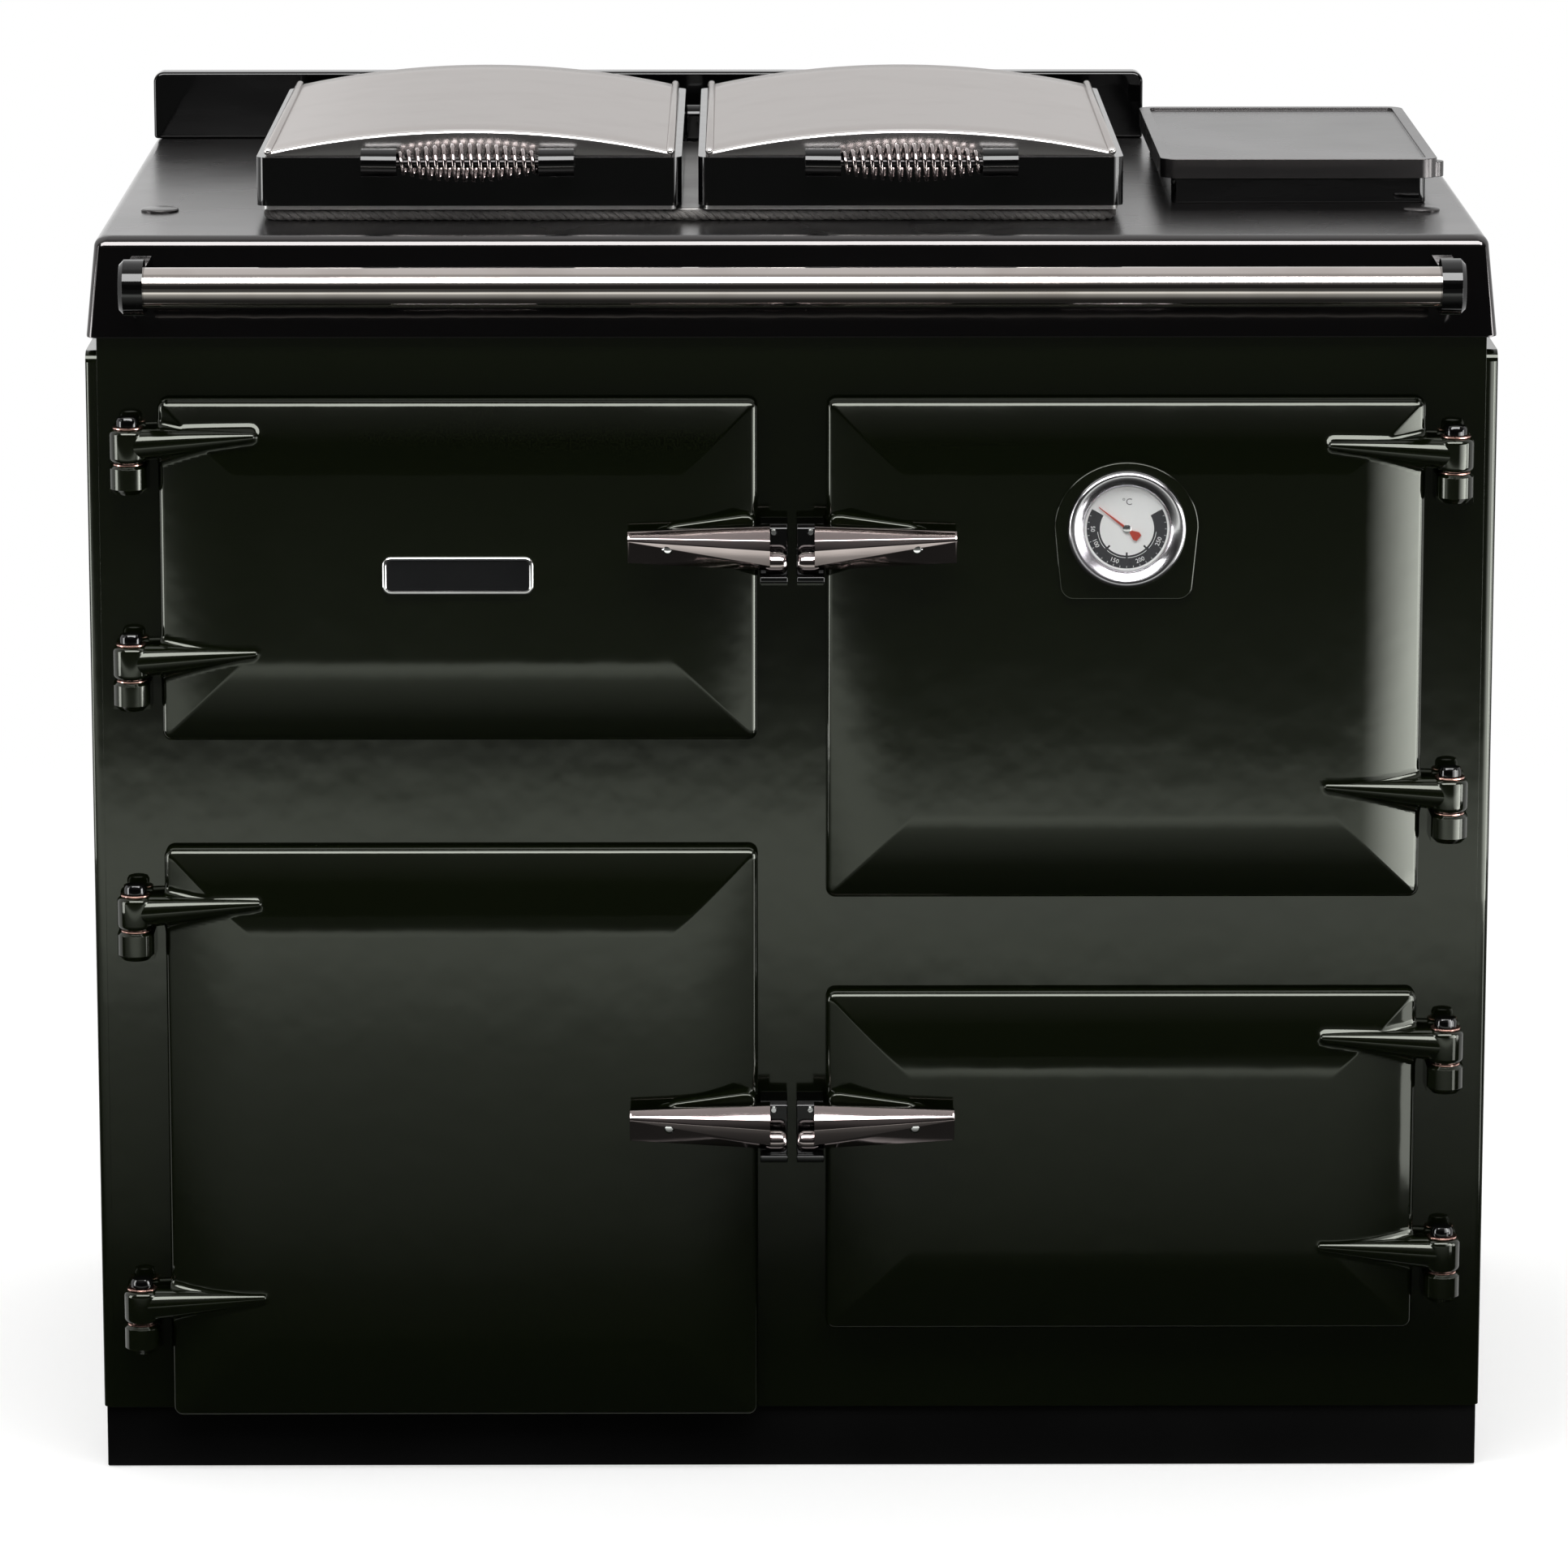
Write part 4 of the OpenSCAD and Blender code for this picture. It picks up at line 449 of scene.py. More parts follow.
@dataclass
class Workshop:
    """Turns millimetre meshes into placed, dressed pieces that ride on their bodies."""

    effects: Effects
    tools: Tools
    nodes: dict[str, bpy.types.Object]
    front_y: float
    made: int = 0
    dressed: set[str] = field(default_factory=set)

    def piece(self, name: str, bm: EditMesh, dress: Dress, body: str, replaces: Sequence[str] = (),
              sharp: float = 32.0, weighted: bool = False) -> bpy.types.Object:
        """Finishes one piece.

        Args:
            name: The piece's name.
            bm: Its mesh in millimetres; it is freed here.
            dress: Its finish.
            body: The body that it rides on.
            replaces: The CAD nodes that it stands for.
            sharp: Edges over this angle, in degrees, stay sharp.
            weighted: Whether flat faces keep their normals next to bevels.

        Returns:
            The new object.
        """
        bm.transform(Matrix.Translation((0.0, self.front_y, 0.0)) @ Matrix.Scale(MM, 4))
        bmesh.ops.recalc_face_normals(bm, faces=bm.faces)
        return self.placed(name, bm, dress, body, replaces, sharp, weighted)

    def placed(self, name: str, bm: EditMesh, dress: Dress, body: str, replaces: Sequence[str],
               sharp: float, weighted: bool) -> bpy.types.Object:
        """Finishes a piece whose mesh is in metres and faces outwards; the arguments are those of piece."""
        mesh = bpy.data.meshes.new(name)
        bm.to_mesh(mesh)
        bm.free()
        for polygon in mesh.polygons:
            polygon.use_smooth = True
        mesh.set_sharp_from_angle(angle=math.radians(sharp))
        piece = in_scene(name, mesh)
        if weighted:
            piece.modifiers.new("Even normals", "WEIGHTED_NORMAL").keep_sharp = True
        mesh.materials.clear()
        mesh.materials.append(dress.finish.material(self.effects))
        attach(piece, body)
        if replaces:
            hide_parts(*replaces)
            self.dressed.update(replaces)
        self.made += 1
        LOG.info("piece %s rides on %s, %d faces", name, body, len(mesh.polygons))
        return piece

    def grown(self, tool: GeometryTool, base: bpy.types.Object, dress: Dress, values: dict) -> EditMesh:
        """Runs a geometry tree on a base object, in a finish, and returns its mesh."""
        return from_mesh(tool.run(base, values, dress.finish.material(self.effects)))

    def lay_rope(self, name: str, path: Sequence[Point], turns: int, r: float, normal: Point,
                 body: str, node: str) -> None:
        """Lays a rope seal along a closed path.

        Args:
            name: The piece's name.
            path: Its centre line.
            turns: How often its strands go around.
            r: The rope's radius.
            normal: Normal of the plane that it lies in.
            body: The body that it rides on.
            node: The CAD node that it stands for.
        """
        rope = self.grown(self.tools.rope, base_loop(path), Dress.ROPE, {
            "Rope radius": r, "Turns": turns, "Steps": turns * 8, "Flat normal": normal})
        self.piece(name, rope, Dress.ROPE, body, (node,), 60.0)

    def set_screws(self, name: str, points: Sequence[Point], head: tuple[float, float], turn: float,
                   dress: Dress, replaces: Sequence[str] = ()) -> None:
        """Sets slotted screws on the fixed body.

        Args:
            name: The piece's name.
            points: The feet of their heads.
            head: Radius and height of a head.
            turn: Turn about X that stands them up, in degrees.
            dress: Their finish.
            replaces: The CAD nodes that they stand for.
        """
        screws = self.grown(self.tools.screw, base_points(points), dress, {
            "Head radius": head[0], "Head height": head[1], "Turn": (math.radians(turn), 0.0, 0.0)})
        self.piece(name, screws, dress, "cooker", replaces)

    def dress_node(self, node: str, dress: Dress) -> None:
        """Gives a CAD node that stays in view its material."""
        cad = self.nodes[node]
        material = dress.finish.material(self.effects)
        if not cad.material_slots:
            cad.data.materials.append(material)
        for slot in cad.material_slots:
            slot.link = "OBJECT"
            slot.material = material
        self.dressed.add(node)
        LOG.info("node %s is dressed in %s", node, dress.name.lower())

    def softened(self, node: str, dress: Dress, body: str, width: float, steps: int,
                 corner: float = 0.0) -> bpy.types.Object:
        """Replaces a node by a copy whose edges are eased.

        Args:
            node: The CAD node.
            dress: Its finish.
            body: The body that it rides on.
            width: Width of the eased edges in millimetres.
            steps: Faces across each eased edge.
            corner: Radius of the upright outer corner at the front, if it has one.

        Returns:
            The new object.
        """
        bm = bmesh.new()
        bm.from_mesh(self.nodes[node].data)
        bmesh.ops.remove_doubles(bm, verts=bm.verts, dist=2e-6)
        bmesh.ops.dissolve_limit(bm, angle_limit=math.radians(0.4), verts=bm.verts, edges=bm.edges)
        if corner:
            reach = max(abs(v.co.x) for v in bm.verts)
            front = min(v.co.y for v in bm.verts)
            upright = [e for e in bm.edges if e.calc_length() > 0.3 and all(
                abs(abs(v.co.x) - reach) < 1e-5 and abs(v.co.y - front) < 1e-5 for v in e.verts)]
            bmesh.ops.bevel(bm, geom=upright, offset=corner * MM, segments=8, profile=0.5, affect="EDGES")
        bmesh.ops.bevel(bm, geom=sharper(bm, 28.0), offset=width * MM, segments=steps, profile=0.5,
                        affect="EDGES", clamp_overlap=True, miter_outer="SHARP")
        return self.placed(node + "_eased", bm, dress, body, (node,), 40.0, True)


# ---------- Mesh helpers ----------


def in_scene(name: str, data: bpy.types.ID) -> bpy.types.Object:
    """Makes an object of its data in the scene."""
    made = bpy.data.objects.new(name, data)
    bpy.context.scene.collection.objects.link(made)
    return made


def evaluated(helper: bpy.types.Object) -> bpy.types.Mesh:
    """Returns a helper object's final mesh and removes the object."""
    graph = bpy.context.evaluated_depsgraph_get()
    graph.update()
    mesh = bpy.data.meshes.new_from_object(helper.evaluated_get(graph), depsgraph=graph)
    bpy.data.objects.remove(helper)
    return mesh


def from_mesh(mesh: bpy.types.Mesh) -> EditMesh:
    """Moves a plain mesh into an editable one."""
    bm = bmesh.new()
    bm.from_mesh(mesh)
    bpy.data.meshes.remove(mesh)
    return bm


def arc(x: float, y: float, r: float, start: float, end: float, steps: int) -> list[tuple[float, float]]:
    """Points on an arc about (x, y), from one angle in degrees to another."""
    angles = [math.radians(start + (end - start) * k / steps) for k in range(steps + 1)]
    return [(x + r * math.cos(a), y + r * math.sin(a)) for a in angles]


def skin(bm: EditMesh, loops: Sequence[Sequence[bmesh.types.BMVert]], first: bool = True) -> None:
    """Joins closed loops of equally many points by quads and closes the last one.

    Args:
        bm: The mesh that holds the loops' points.
        loops: The loops in order.
        first: Whether the first loop is closed too.
    """
    for low, high in zip(loops, loops[1:]):
        for k in range(len(low)):
            n = (k + 1) % len(low)
            bm.faces.new((low[k], low[n], high[n], high[k]))
    if first:
        bm.faces.new(loops[0])
    bm.faces.new(loops[-1])


def lathe(profile: Section, around: int = 64) -> EditMesh:
    """Turns a profile about Z.

    Args:
        profile: Radius and height pairs, from the axis back to the axis.
        around: Number of faces around.

    Returns:
        A closed mesh.
    """
    bm = bmesh.new()
    rings = []
    for radius, height in profile:
        if radius < 1e-6:
            rings.append([bm.verts.new((0.0, 0.0, height))])
            continue
        rings.append([bm.verts.new((radius * math.cos(a), radius * math.sin(a), height))
                      for a in (2 * math.pi * k / around for k in range(around))])
    for low, high in zip(rings, rings[1:]):
        for k in range(around):
            n = (k + 1) % around
            ring = [low[k % len(low)], low[n % len(low)], high[n % len(high)], high[k % len(high)]]
            face = list(dict.fromkeys(ring))
            if len(face) > 2:
                bm.faces.new(face)
    return bm


def prism(outline: Section, low: float, high: float, axis: str) -> EditMesh:
    """Extrudes a flat outline.

    Args:
        outline: Points (y, z) for axis X, (x, z) for axis Y and (x, y) for axis Z.
        low: Start along the axis.
        high: End along the axis.
        axis: "X", "Y" or "Z".

    Returns:
        A closed mesh.
    """
    order: dict[str, Callable[[float, float, float], Point]] = {
        "X": lambda a, b, t: (t, a, b), "Y": lambda a, b, t: (a, t, b), "Z": lambda a, b, t: (a, b, t)}
    bm = bmesh.new()
    skin(bm, [[bm.verts.new(order[axis](a, b, t)) for a, b in outline] for t in (low, high)])
    bmesh.ops.recalc_face_normals(bm, faces=bm.faces)
    return bm


def sharper(bm: EditMesh, least: float) -> list[bmesh.types.BMEdge]:
    """Edges between two faces that meet at more than an angle in degrees."""
    return [e for e in bm.edges if len(e.link_faces) == 2 and e.calc_face_angle(0.0) > math.radians(least)]


def ease(bm: EditMesh, width: float, steps: int = 3, least: float = 25.0) -> EditMesh:
    """Rounds the mesh's edges that are sharper than an angle and returns the mesh."""
    bmesh.ops.recalc_face_normals(bm, faces=bm.faces)
    bmesh.ops.bevel(bm, geom=sharper(bm, least), offset=width, segments=steps, profile=0.5,
                    affect="EDGES", clamp_overlap=True)
    return bm


def join(*parts: EditMesh) -> EditMesh:
    """Puts several meshes in one and frees the others."""
    whole = parts[0]
    for part in parts[1:]:
        mesh = bpy.data.meshes.new("joined")
        part.to_mesh(mesh)
        part.free()
        whole.from_mesh(mesh)
        bpy.data.meshes.remove(mesh)
    return whole


def moved(bm: EditMesh, *steps: Matrix) -> EditMesh:
    """Applies matrices in turn and returns the mesh."""
    for step in steps:
        bm.transform(step)
    return bm


def turn(degrees: float, axis: str) -> Matrix:
    """A turn about an axis."""
    return Matrix.Rotation(math.radians(degrees), 4, axis)


def towards_viewer(x: float, y: float, z: float) -> Matrix:
    """Stands a turned shape's axis out of the front, with its foot at a point."""
    return Matrix.Translation((x, y, z)) @ Matrix.Rotation(math.radians(90), 4, "X")


def rounded_rect(w: float, h: float, r: float, steps: int = 6) -> list[tuple[float, float]]:
    """Outline of a rectangle with round corners about the origin."""
    points = []
    for k, (right, up) in enumerate(((1, 1), (-1, 1), (-1, -1), (1, -1))):
        points += arc(right * (w / 2 - r), up * (h / 2 - r), r, 90 * k, 90 * k + 90, steps)
    return points


def mirrored(bm: EditMesh, side: int) -> EditMesh:
    """Turns a right-hand mesh into a left-hand one when side is -1."""
    if side < 0:
        bm.transform(Matrix.Scale(-1.0, 4, (1.0, 0.0, 0.0)))
        bmesh.ops.reverse_faces(bm, faces=bm.faces)
    return bm


# ---------- Geometry Nodes ----------


class GeometryTool:
    """A geometry tree with named inputs that is run once on a base object."""

    def __init__(self, name: str, inputs: dict[str, object]) -> None:
        """Starts the tree.

        Args:
            name: The tree's name.
            inputs: Names and default values; a whole number makes an integer socket and a tuple a vector.
        """
        self.tree = bpy.data.node_groups.new(name, "GeometryNodeTree")
        self.tree.interface.new_socket("Geometry", in_out="INPUT", socket_type="NodeSocketGeometry")
        kinds = {int: "NodeSocketInt", float: "NodeSocketFloat", tuple: "NodeSocketVector"}
        for key, value in inputs.items():
            socket = self.tree.interface.new_socket(key, in_out="INPUT", socket_type=kinds[type(value)])
            socket.default_value = value
        self.tree.interface.new_socket("Finish", in_out="INPUT", socket_type="NodeSocketMaterial")
        self.tree.interface.new_socket("Geometry", in_out="OUTPUT", socket_type="NodeSocketGeometry")
        self.w = Wiring(self.tree)
        self.inputs = {s.name: s for s in self.w.add("NodeGroupInput").outputs if s.name}

    def end(self, geometry: Socket) -> None:
        """Closes the tree with Realize Instances and Set Material."""
        real = self.w.add("GeometryNodeRealizeInstances", {0: geometry}).outputs[0]
        done = self.w.add("GeometryNodeSetMaterial", {"Geometry": real, "Material": self.inputs["Finish"]})
        self.w.add("NodeGroupOutput", {0: done.outputs[0]})

    def run(self, base: bpy.types.Object, values: dict[str, object],
            finish: bpy.types.Material) -> bpy.types.Mesh:
        """Runs the tree on a base object and removes the object.

        Args:
            base: A mesh or curve object that isn't a piece.
            values: Values by the inputs' names.
            finish: Material of the result.

        Returns:
            A plain mesh.
        """
        modifier = base.modifiers.new("tool", "NODES")
        modifier.node_group = self.tree
        for item in self.tree.interface.items_tree:
            if item.in_out == "INPUT" and item.name in values:
                modifier[item.identifier] = values[item.name]
            elif item.in_out == "INPUT" and item.name == "Finish":
                modifier[item.identifier] = finish
        return evaluated(base)


def base_points(points: Iterable[Point] = ((0.0, 0.0, 0.0),)) -> bpy.types.Object:
    """A helper object whose mesh has only the given points."""
    mesh = bpy.data.meshes.new("points")
    mesh.from_pydata([tuple(p) for p in points], [], [])
    return in_scene("points", mesh)


def base_loop(points: Sequence[Point]) -> bpy.types.Object:
    """A helper object with one closed poly curve."""
    curve = bpy.data.curves.new("loop", "CURVE")
    curve.dimensions = "3D"
    spline = curve.splines.new("POLY")
    spline.points.add(len(points) - 1)
    for target, point in zip(spline.points, points):
        target.co = (*point, 1.0)
    spline.use_cyclic_u = True
    return in_scene("loop", curve)


class SpringTool(GeometryTool):
    """Winds a barrel-shaped spring along X."""

    def __init__(self) -> None:
        """Builds the tree."""
        super().__init__("wound_spring", {"Length": 100.0, "Curls": 15.0, "End radius": 6.0,
                                          "Middle radius": 12.5, "Wire radius": 1.5, "Steps": 340})
        w, i = self.w, self.inputs
        line = w.add("GeometryNodeCurvePrimitiveLine")
        fine = w.add("GeometryNodeResampleCurve", {"Curve": line.outputs[0], "Count": i["Steps"]})
        factor = w.add("GeometryNodeSplineParameter").outputs["Factor"]
        belly = w.math("POWER", w.math("SINE", w.math("MULTIPLY", factor, math.pi)), 0.8)
        grown = w.math("SUBTRACT", i["Middle radius"], i["End radius"])
        radius = w.math("MULTIPLY_ADD", belly, grown, i["End radius"])
        angle = w.math("MULTIPLY", w.math("MULTIPLY", factor, i["Curls"]), 2 * math.pi)
        x = w.math("MULTIPLY", w.math("SUBTRACT", factor, 0.5), i["Length"])
        place = w.xyz(x, *w.around(radius, angle))
        wound = w.add("GeometryNodeSetPosition", {"Geometry": fine.outputs[0], "Position": place})
        ring = w.add("GeometryNodeCurvePrimitiveCircle", {"Resolution": 10, "Radius": i["Wire radius"]})
        wire = w.add("GeometryNodeCurveToMesh", {"Curve": wound.outputs[0], "Profile Curve": ring.outputs[0],
                                                 "Fill Caps": True})
        self.end(wire.outputs[0])


class RopeTool(GeometryTool):
    """Lays three strands around a closed flat path."""

    def __init__(self) -> None:
        """Builds the tree."""
        super().__init__("laid_rope", {"Rope radius": 3.6, "Strand share": 0.54, "Turns": 80, "Steps": 640,
                                       "Flat normal": (0.0, 1.0, 0.0)})
        w, i = self.w, self.inputs
        fine = w.add("GeometryNodeResampleCurve", {"Curve": i["Geometry"], "Count": i["Steps"]})
        factor = w.add("GeometryNodeSplineParameter").outputs["Factor"]
        tangent = w.add("GeometryNodeInputTangent").outputs[0]
        side = w.vector("CROSS_PRODUCT", tangent, i["Flat normal"])
        strand = w.math("MULTIPLY", i["Rope radius"], i["Strand share"])
        orbit = w.math("SUBTRACT", i["Rope radius"], strand)
        turned = w.math("MULTIPLY", w.math("MULTIPLY", factor, i["Turns"]), 2 * math.pi)
        ring = w.add("GeometryNodeCurvePrimitiveCircle", {"Resolution": 6, "Radius": strand})
        joined = w.add("GeometryNodeJoinGeometry")
        for k in range(3):
            angle = w.math("ADD", turned, 2 * math.pi * k / 3)
            out = w.vector("SCALE", i["Flat normal"], w.math("COSINE", angle))
            across = w.vector("SCALE", side, w.math("SINE", angle))
            offset = w.vector("SCALE", w.vector("ADD", out, across), orbit)
            laid = w.add("GeometryNodeSetPosition", {"Geometry": fine.outputs[0], "Offset": offset})
            mesh = w.add("GeometryNodeCurveToMesh", {"Curve": laid.outputs[0],
                                                     "Profile Curve": ring.outputs[0]})
            w.link(mesh.outputs[0], joined.inputs[0])
        self.end(joined.outputs[0])


class ScrewTool(GeometryTool):
    """Sets slotted screw heads on points."""

    def __init__(self) -> None:
        """Builds the tree."""
        super().__init__("slotted_screws", {"Head radius": 5.0, "Head height": 2.6, "Turn": (0.0, 0.0, 0.0)})
        w, i = self.w, self.inputs
        head = w.add("GeometryNodeMeshCone", {"Vertices": 24, "Side Segments": 1,
                                              "Radius Bottom": i["Head radius"],
                                              "Radius Top": w.math("MULTIPLY", i["Head radius"], 0.72),
                                              "Depth": i["Head height"]})
        size = w.xyz(w.math("MULTIPLY", i["Head radius"], 2.2), w.math("MULTIPLY", i["Head radius"], 0.22),
                     i["Head height"])
        bar = w.add("GeometryNodeMeshCube", {"Size": size}).outputs[0]
        raised = w.add("GeometryNodeTransform", {"Geometry": bar, "Translation": w.xyz(z=i["Head height"])})
        cut = w.add("GeometryNodeMeshBoolean", {"Mesh 1": head.outputs[0], "Mesh 2": raised.outputs[0]},
                    operation="DIFFERENCE")
        spin = w.add("FunctionNodeRandomValue", {2: 0.0, 3: 3.1, "Seed": 7}, data_type="FLOAT").outputs[1]
        whole, own = (w.add("FunctionNodeEulerToRotation", {0: euler}).outputs[0]
                      for euler in (i["Turn"], w.xyz(z=spin)))
        turned = w.add("FunctionNodeRotateRotation", {"Rotation": whole, "Rotate By": own},
                       rotation_space="LOCAL")
        placed = w.add("GeometryNodeInstanceOnPoints", {"Points": i["Geometry"], "Instance": cut.outputs[0],
                                                        "Rotation": turned.outputs[0]})
        self.end(placed.outputs[0])


class RingTool(GeometryTool):
    """Sets bars around a circle about Z, for knob flutes and dial ticks."""

    def __init__(self) -> None:
        """Builds the tree."""
        super().__init__("bars_around", {"Count": 12, "First angle": 0.0, "Step angle": 0.3, "Radius": 20.0,
                                         "Height": 0.0, "Bar": (4.0, 1.0, 0.4)})
        w, i = self.w, self.inputs
        points = w.add("GeometryNodePoints", {"Count": i["Count"]})
        index = w.add("GeometryNodeInputIndex").outputs[0]
        angle = w.math("MULTIPLY_ADD", index, i["Step angle"], i["First angle"])
        place = w.xyz(*w.around(i["Radius"], angle), i["Height"])
        spaced = w.add("GeometryNodeSetPosition", {"Geometry": points.outputs[0], "Position": place})
        bar = w.add("GeometryNodeMeshCube", {"Size": i["Bar"]})
        facing = w.add("FunctionNodeEulerToRotation", {0: w.xyz(z=angle)})
        bars = w.add("GeometryNodeInstanceOnPoints", {"Points": spaced.outputs[0], "Instance": bar.outputs[0],
                                                      "Rotation": facing.outputs[0]})
        self.end(bars.outputs[0])


@dataclass
class Tools:
    """The geometry trees, each built once."""

    spring: SpringTool = field(default_factory=SpringTool)
    rope: RopeTool = field(default_factory=RopeTool)
    screw: ScrewTool = field(default_factory=ScrewTool)
    ring: RingTool = field(default_factory=RingTool)


# ---------- Doors ----------


class Side(Enum):
    """Which side of the cooker a door is on."""

    LEFT = -1
    RIGHT = 1


@dataclass
class Door:
    """One enamelled cast iron door with its hinge horns, handle, liner and rope seal."""

    name: str
    side: Side
    low: float
    height: float
    hinges: tuple[float, float]
    handle_z: float
    dial_z: Optional[float] = None
    inner: float = 24.0
    width: float = 420.5
    gap: float = 2.0
    edge_front: float = 14.0
    crown: float = 11.0
    slope: float = 62.0
    edge_r: float = 6.0
    corner_r: float = 7.0
    rim: float = 12.0
    pocket: float = 10.3
    hinge_reach: float = 20.5
    hinge_depth: float = 14.5
    horn_len: float = 90.0
    horn_root: float = 11.8
    horn_tip: float = 3.0
    horn_rise: float = 7.5
    knuckle_r: float = 13.0
    knuckle_h: float = 24.0
    pivot: float = 87.0
    rope_inset: float = 24.0
    rope_r: float = 3.6
    boss_r: float = 50.5
    boss_top: float = 46.5
    boss_drop: float = 51.5
    boss_taper: float = 4.0
    boss_corner: float = 10.0
    boss_rise: float = 3.0
    boss_foot: float = 3.0
    liner_reach: float = 2.3
    rope_lift: float = 0.15
    rope_corner: float = 10.0
    rope_pitch: float = 17.0
    handle_back: float = -34.5

    @property
    def hinge_x(self) -> float:
        """Distance of the hinges' axis from the cooker's middle."""
        return self.inner + self.width + self.hinge_reach

    @property
    def front(self) -> float:
        """Reach of the flat middle in front of the front plate's face."""
        return self.edge_front + self.crown

    def border(self, s: float) -> float:
        """Reach of the pillow's face at a distance from the edge.

        Args:
            s: Distance from the nearest edge.

        Returns:
            Reach in front of the front plate's face.
        """
        steep = 2 * self.crown / (self.slope - self.edge_r)
        turn = math.pi / 2 - math.atan(steep)
        e = self.edge_r
        arc_s = e * (1 - math.cos(turn))
        arc_d = self.edge_front - steep * (e - arc_s) - e * math.sin(turn)
        if s < arc_s:
            return arc_d + math.sqrt(max(e * e - (e - s) ** 2, 0.0))
        if s < e:
            return self.edge_front - steep * (e - s)
        t = min((s - e) / (self.slope - e), 1.0)
        return self.edge_front + self.crown * (1 - (1 - t) ** 2)

    @staticmethod
    def merge(a: float, b: float, k: float) -> float:
        """Higher of two reaches, with a fillet of size k between them."""
        h = max(k - abs(a - b), 0.0) / k
        return max(a, b) + h * h * k / 4

    def horn_radius(self, run: float) -> float:
        """The horn's radius at a distance from the hinge's axis."""
        return self.horn_root + (self.horn_tip - self.horn_root) * min(run / self.horn_len, 1.0) ** 1.3

    def horn(self, u: float, v: float, hinge: float) -> float:
        """Reach of a horn over the door's face.

        Args:
            u: Distance from the door's inner edge.
            v: Height above the door's lower edge.
            hinge: The hinge's height above the door's lower edge.

        Returns:
            Reach in front of the front plate's face, low where the horn isn't.
        """
        a = self.width + self.hinge_reach - u
        share = min(a / self.horn_len, 1.0)
        over = max(a - self.horn_len + self.horn_tip, 0.0)
        r = self.horn_radius(a)
        axis = self.hinge_depth + (self.front - self.hinge_depth - 1.5) * share
        off = math.hypot(v - hinge - self.horn_rise * share, over)
        if off < r * 0.7:
            return axis + math.sqrt(r * r - off * off) - 2.0
        return axis + r * 0.714 - 2.0 - (off - r * 0.7) * 1.6

    def boss(self) -> EditMesh:
        """The thermometer's boss: arched at the top, square and narrower at the foot."""
        x, z = self.inner + self.width / 2, self.dial_z
        outline = [(x + self.boss_r * math.cos(a), z + self.boss_top * math.sin(a))
                   for a in (math.radians(5 * k) for k in range(37))]
        foot = self.boss_r - self.boss_taper - self.boss_corner
        low = z - self.boss_drop + self.boss_corner
        for start, middle in ((180, x - foot), (270, x + foot)):
            outline += arc(middle, low, self.boss_corner, start, start + 90, 9)
        ends = (-self.front - self.boss_rise, -self.front + self.boss_foot)
        bm = ease(prism(outline, *ends, "Y"), 1.1, 4, 40.0)
        face = max((f for f in bm.faces if f.normal.y < -0.99), key=lambda f: f.calc_area())
        bmesh.ops.inset_region(bm, faces=[face], thickness=0.5)
        return bm

    def reach(self, u: float, v: float, su: float, sv: float) -> float:
        """Reach of the whole casting at a point; su and sv are the distances from the edges."""
        value = min(self.border(su), self.border(sv))
        for hinge in self.hinges:
            value = self.merge(value, self.horn(u, v, hinge - self.low), 4.5)
        return value

    def lines(self, length: float, fine: Sequence[tuple[float, float]]) -> list[float]:
        """Grid positions along one side of the door.

        Args:
            length: The side's length.
            fine: Ranges that get a close spacing.

        Returns:
            Sorted positions from 0 to the length.
        """
        e = self.edge_r
        near = [e * (1 - math.cos(math.radians(a))) for a in (0, 14, 28, 42, 56, 68)] + [5.0]
        near += [e + 2.0 * k for k in range(int((self.slope - e) / 2.0) + 1)]
        values = near + [length - s for s in near]
        x = self.slope
        while x < length - self.slope - 1.0:
            close = any(a - 4 < x < b + 2 for a, b in fine)
            x += 2.0 if close else 6.0
            values.append(min(x, length - self.slope - 0.5))
        values.sort()
        kept = values[:1]
        for value in values[1:]:
            if value - kept[-1] > 0.3:
                kept.append(value)
        kept[-1] = length
        return kept

    def casting(self) -> EditMesh:
        """The door's enamelled casting without knuckles and bracket, as a right-hand mesh."""
        w, h, r = self.width, self.height, self.corner_r
        us = self.lines(w, [(w - 105, w)])
        vs = self.lines(h, [(z - self.low - 24, z - self.low + 24) for z in self.hinges])
        bm = bmesh.new()
        grid = []
        for v in vs:
            row = []
            for u in us:
                su, sv = min(u, w - u), min(v, h - v)
                x, z = u, v
                if su < r and sv < r:
                    dx, dz = r - su, r - sv
                    scale = max(dx, dz) / math.hypot(dx, dz)
                    x = (r - dx * scale) if u < w / 2 else w - (r - dx * scale)
                    z = (r - dz * scale) if v < h / 2 else h - (r - dz * scale)
                row.append(bm.verts.new((self.inner + x, -self.reach(x, z, su, sv), self.low + z)))
            grid.append(row)
        for j in range(len(vs) - 1):
            for i in range(len(us) - 1):
                a, b, c, d = grid[j][i], grid[j][i + 1], grid[j + 1][i + 1], grid[j + 1][i]
                falling = (us[i] < w / 2) != (vs[j] < h / 2)
                for corners in ((a, b, d), (b, c, d)) if falling else ((a, b, c), (a, c, d)):
                    bm.faces.new(corners)
        loop = grid[0] + [row[-1] for row in grid[1:]] + grid[-1][-2::-1] + [row[0] for row in grid[-2:0:-1]]
        self._back(bm, loop)
        return bm

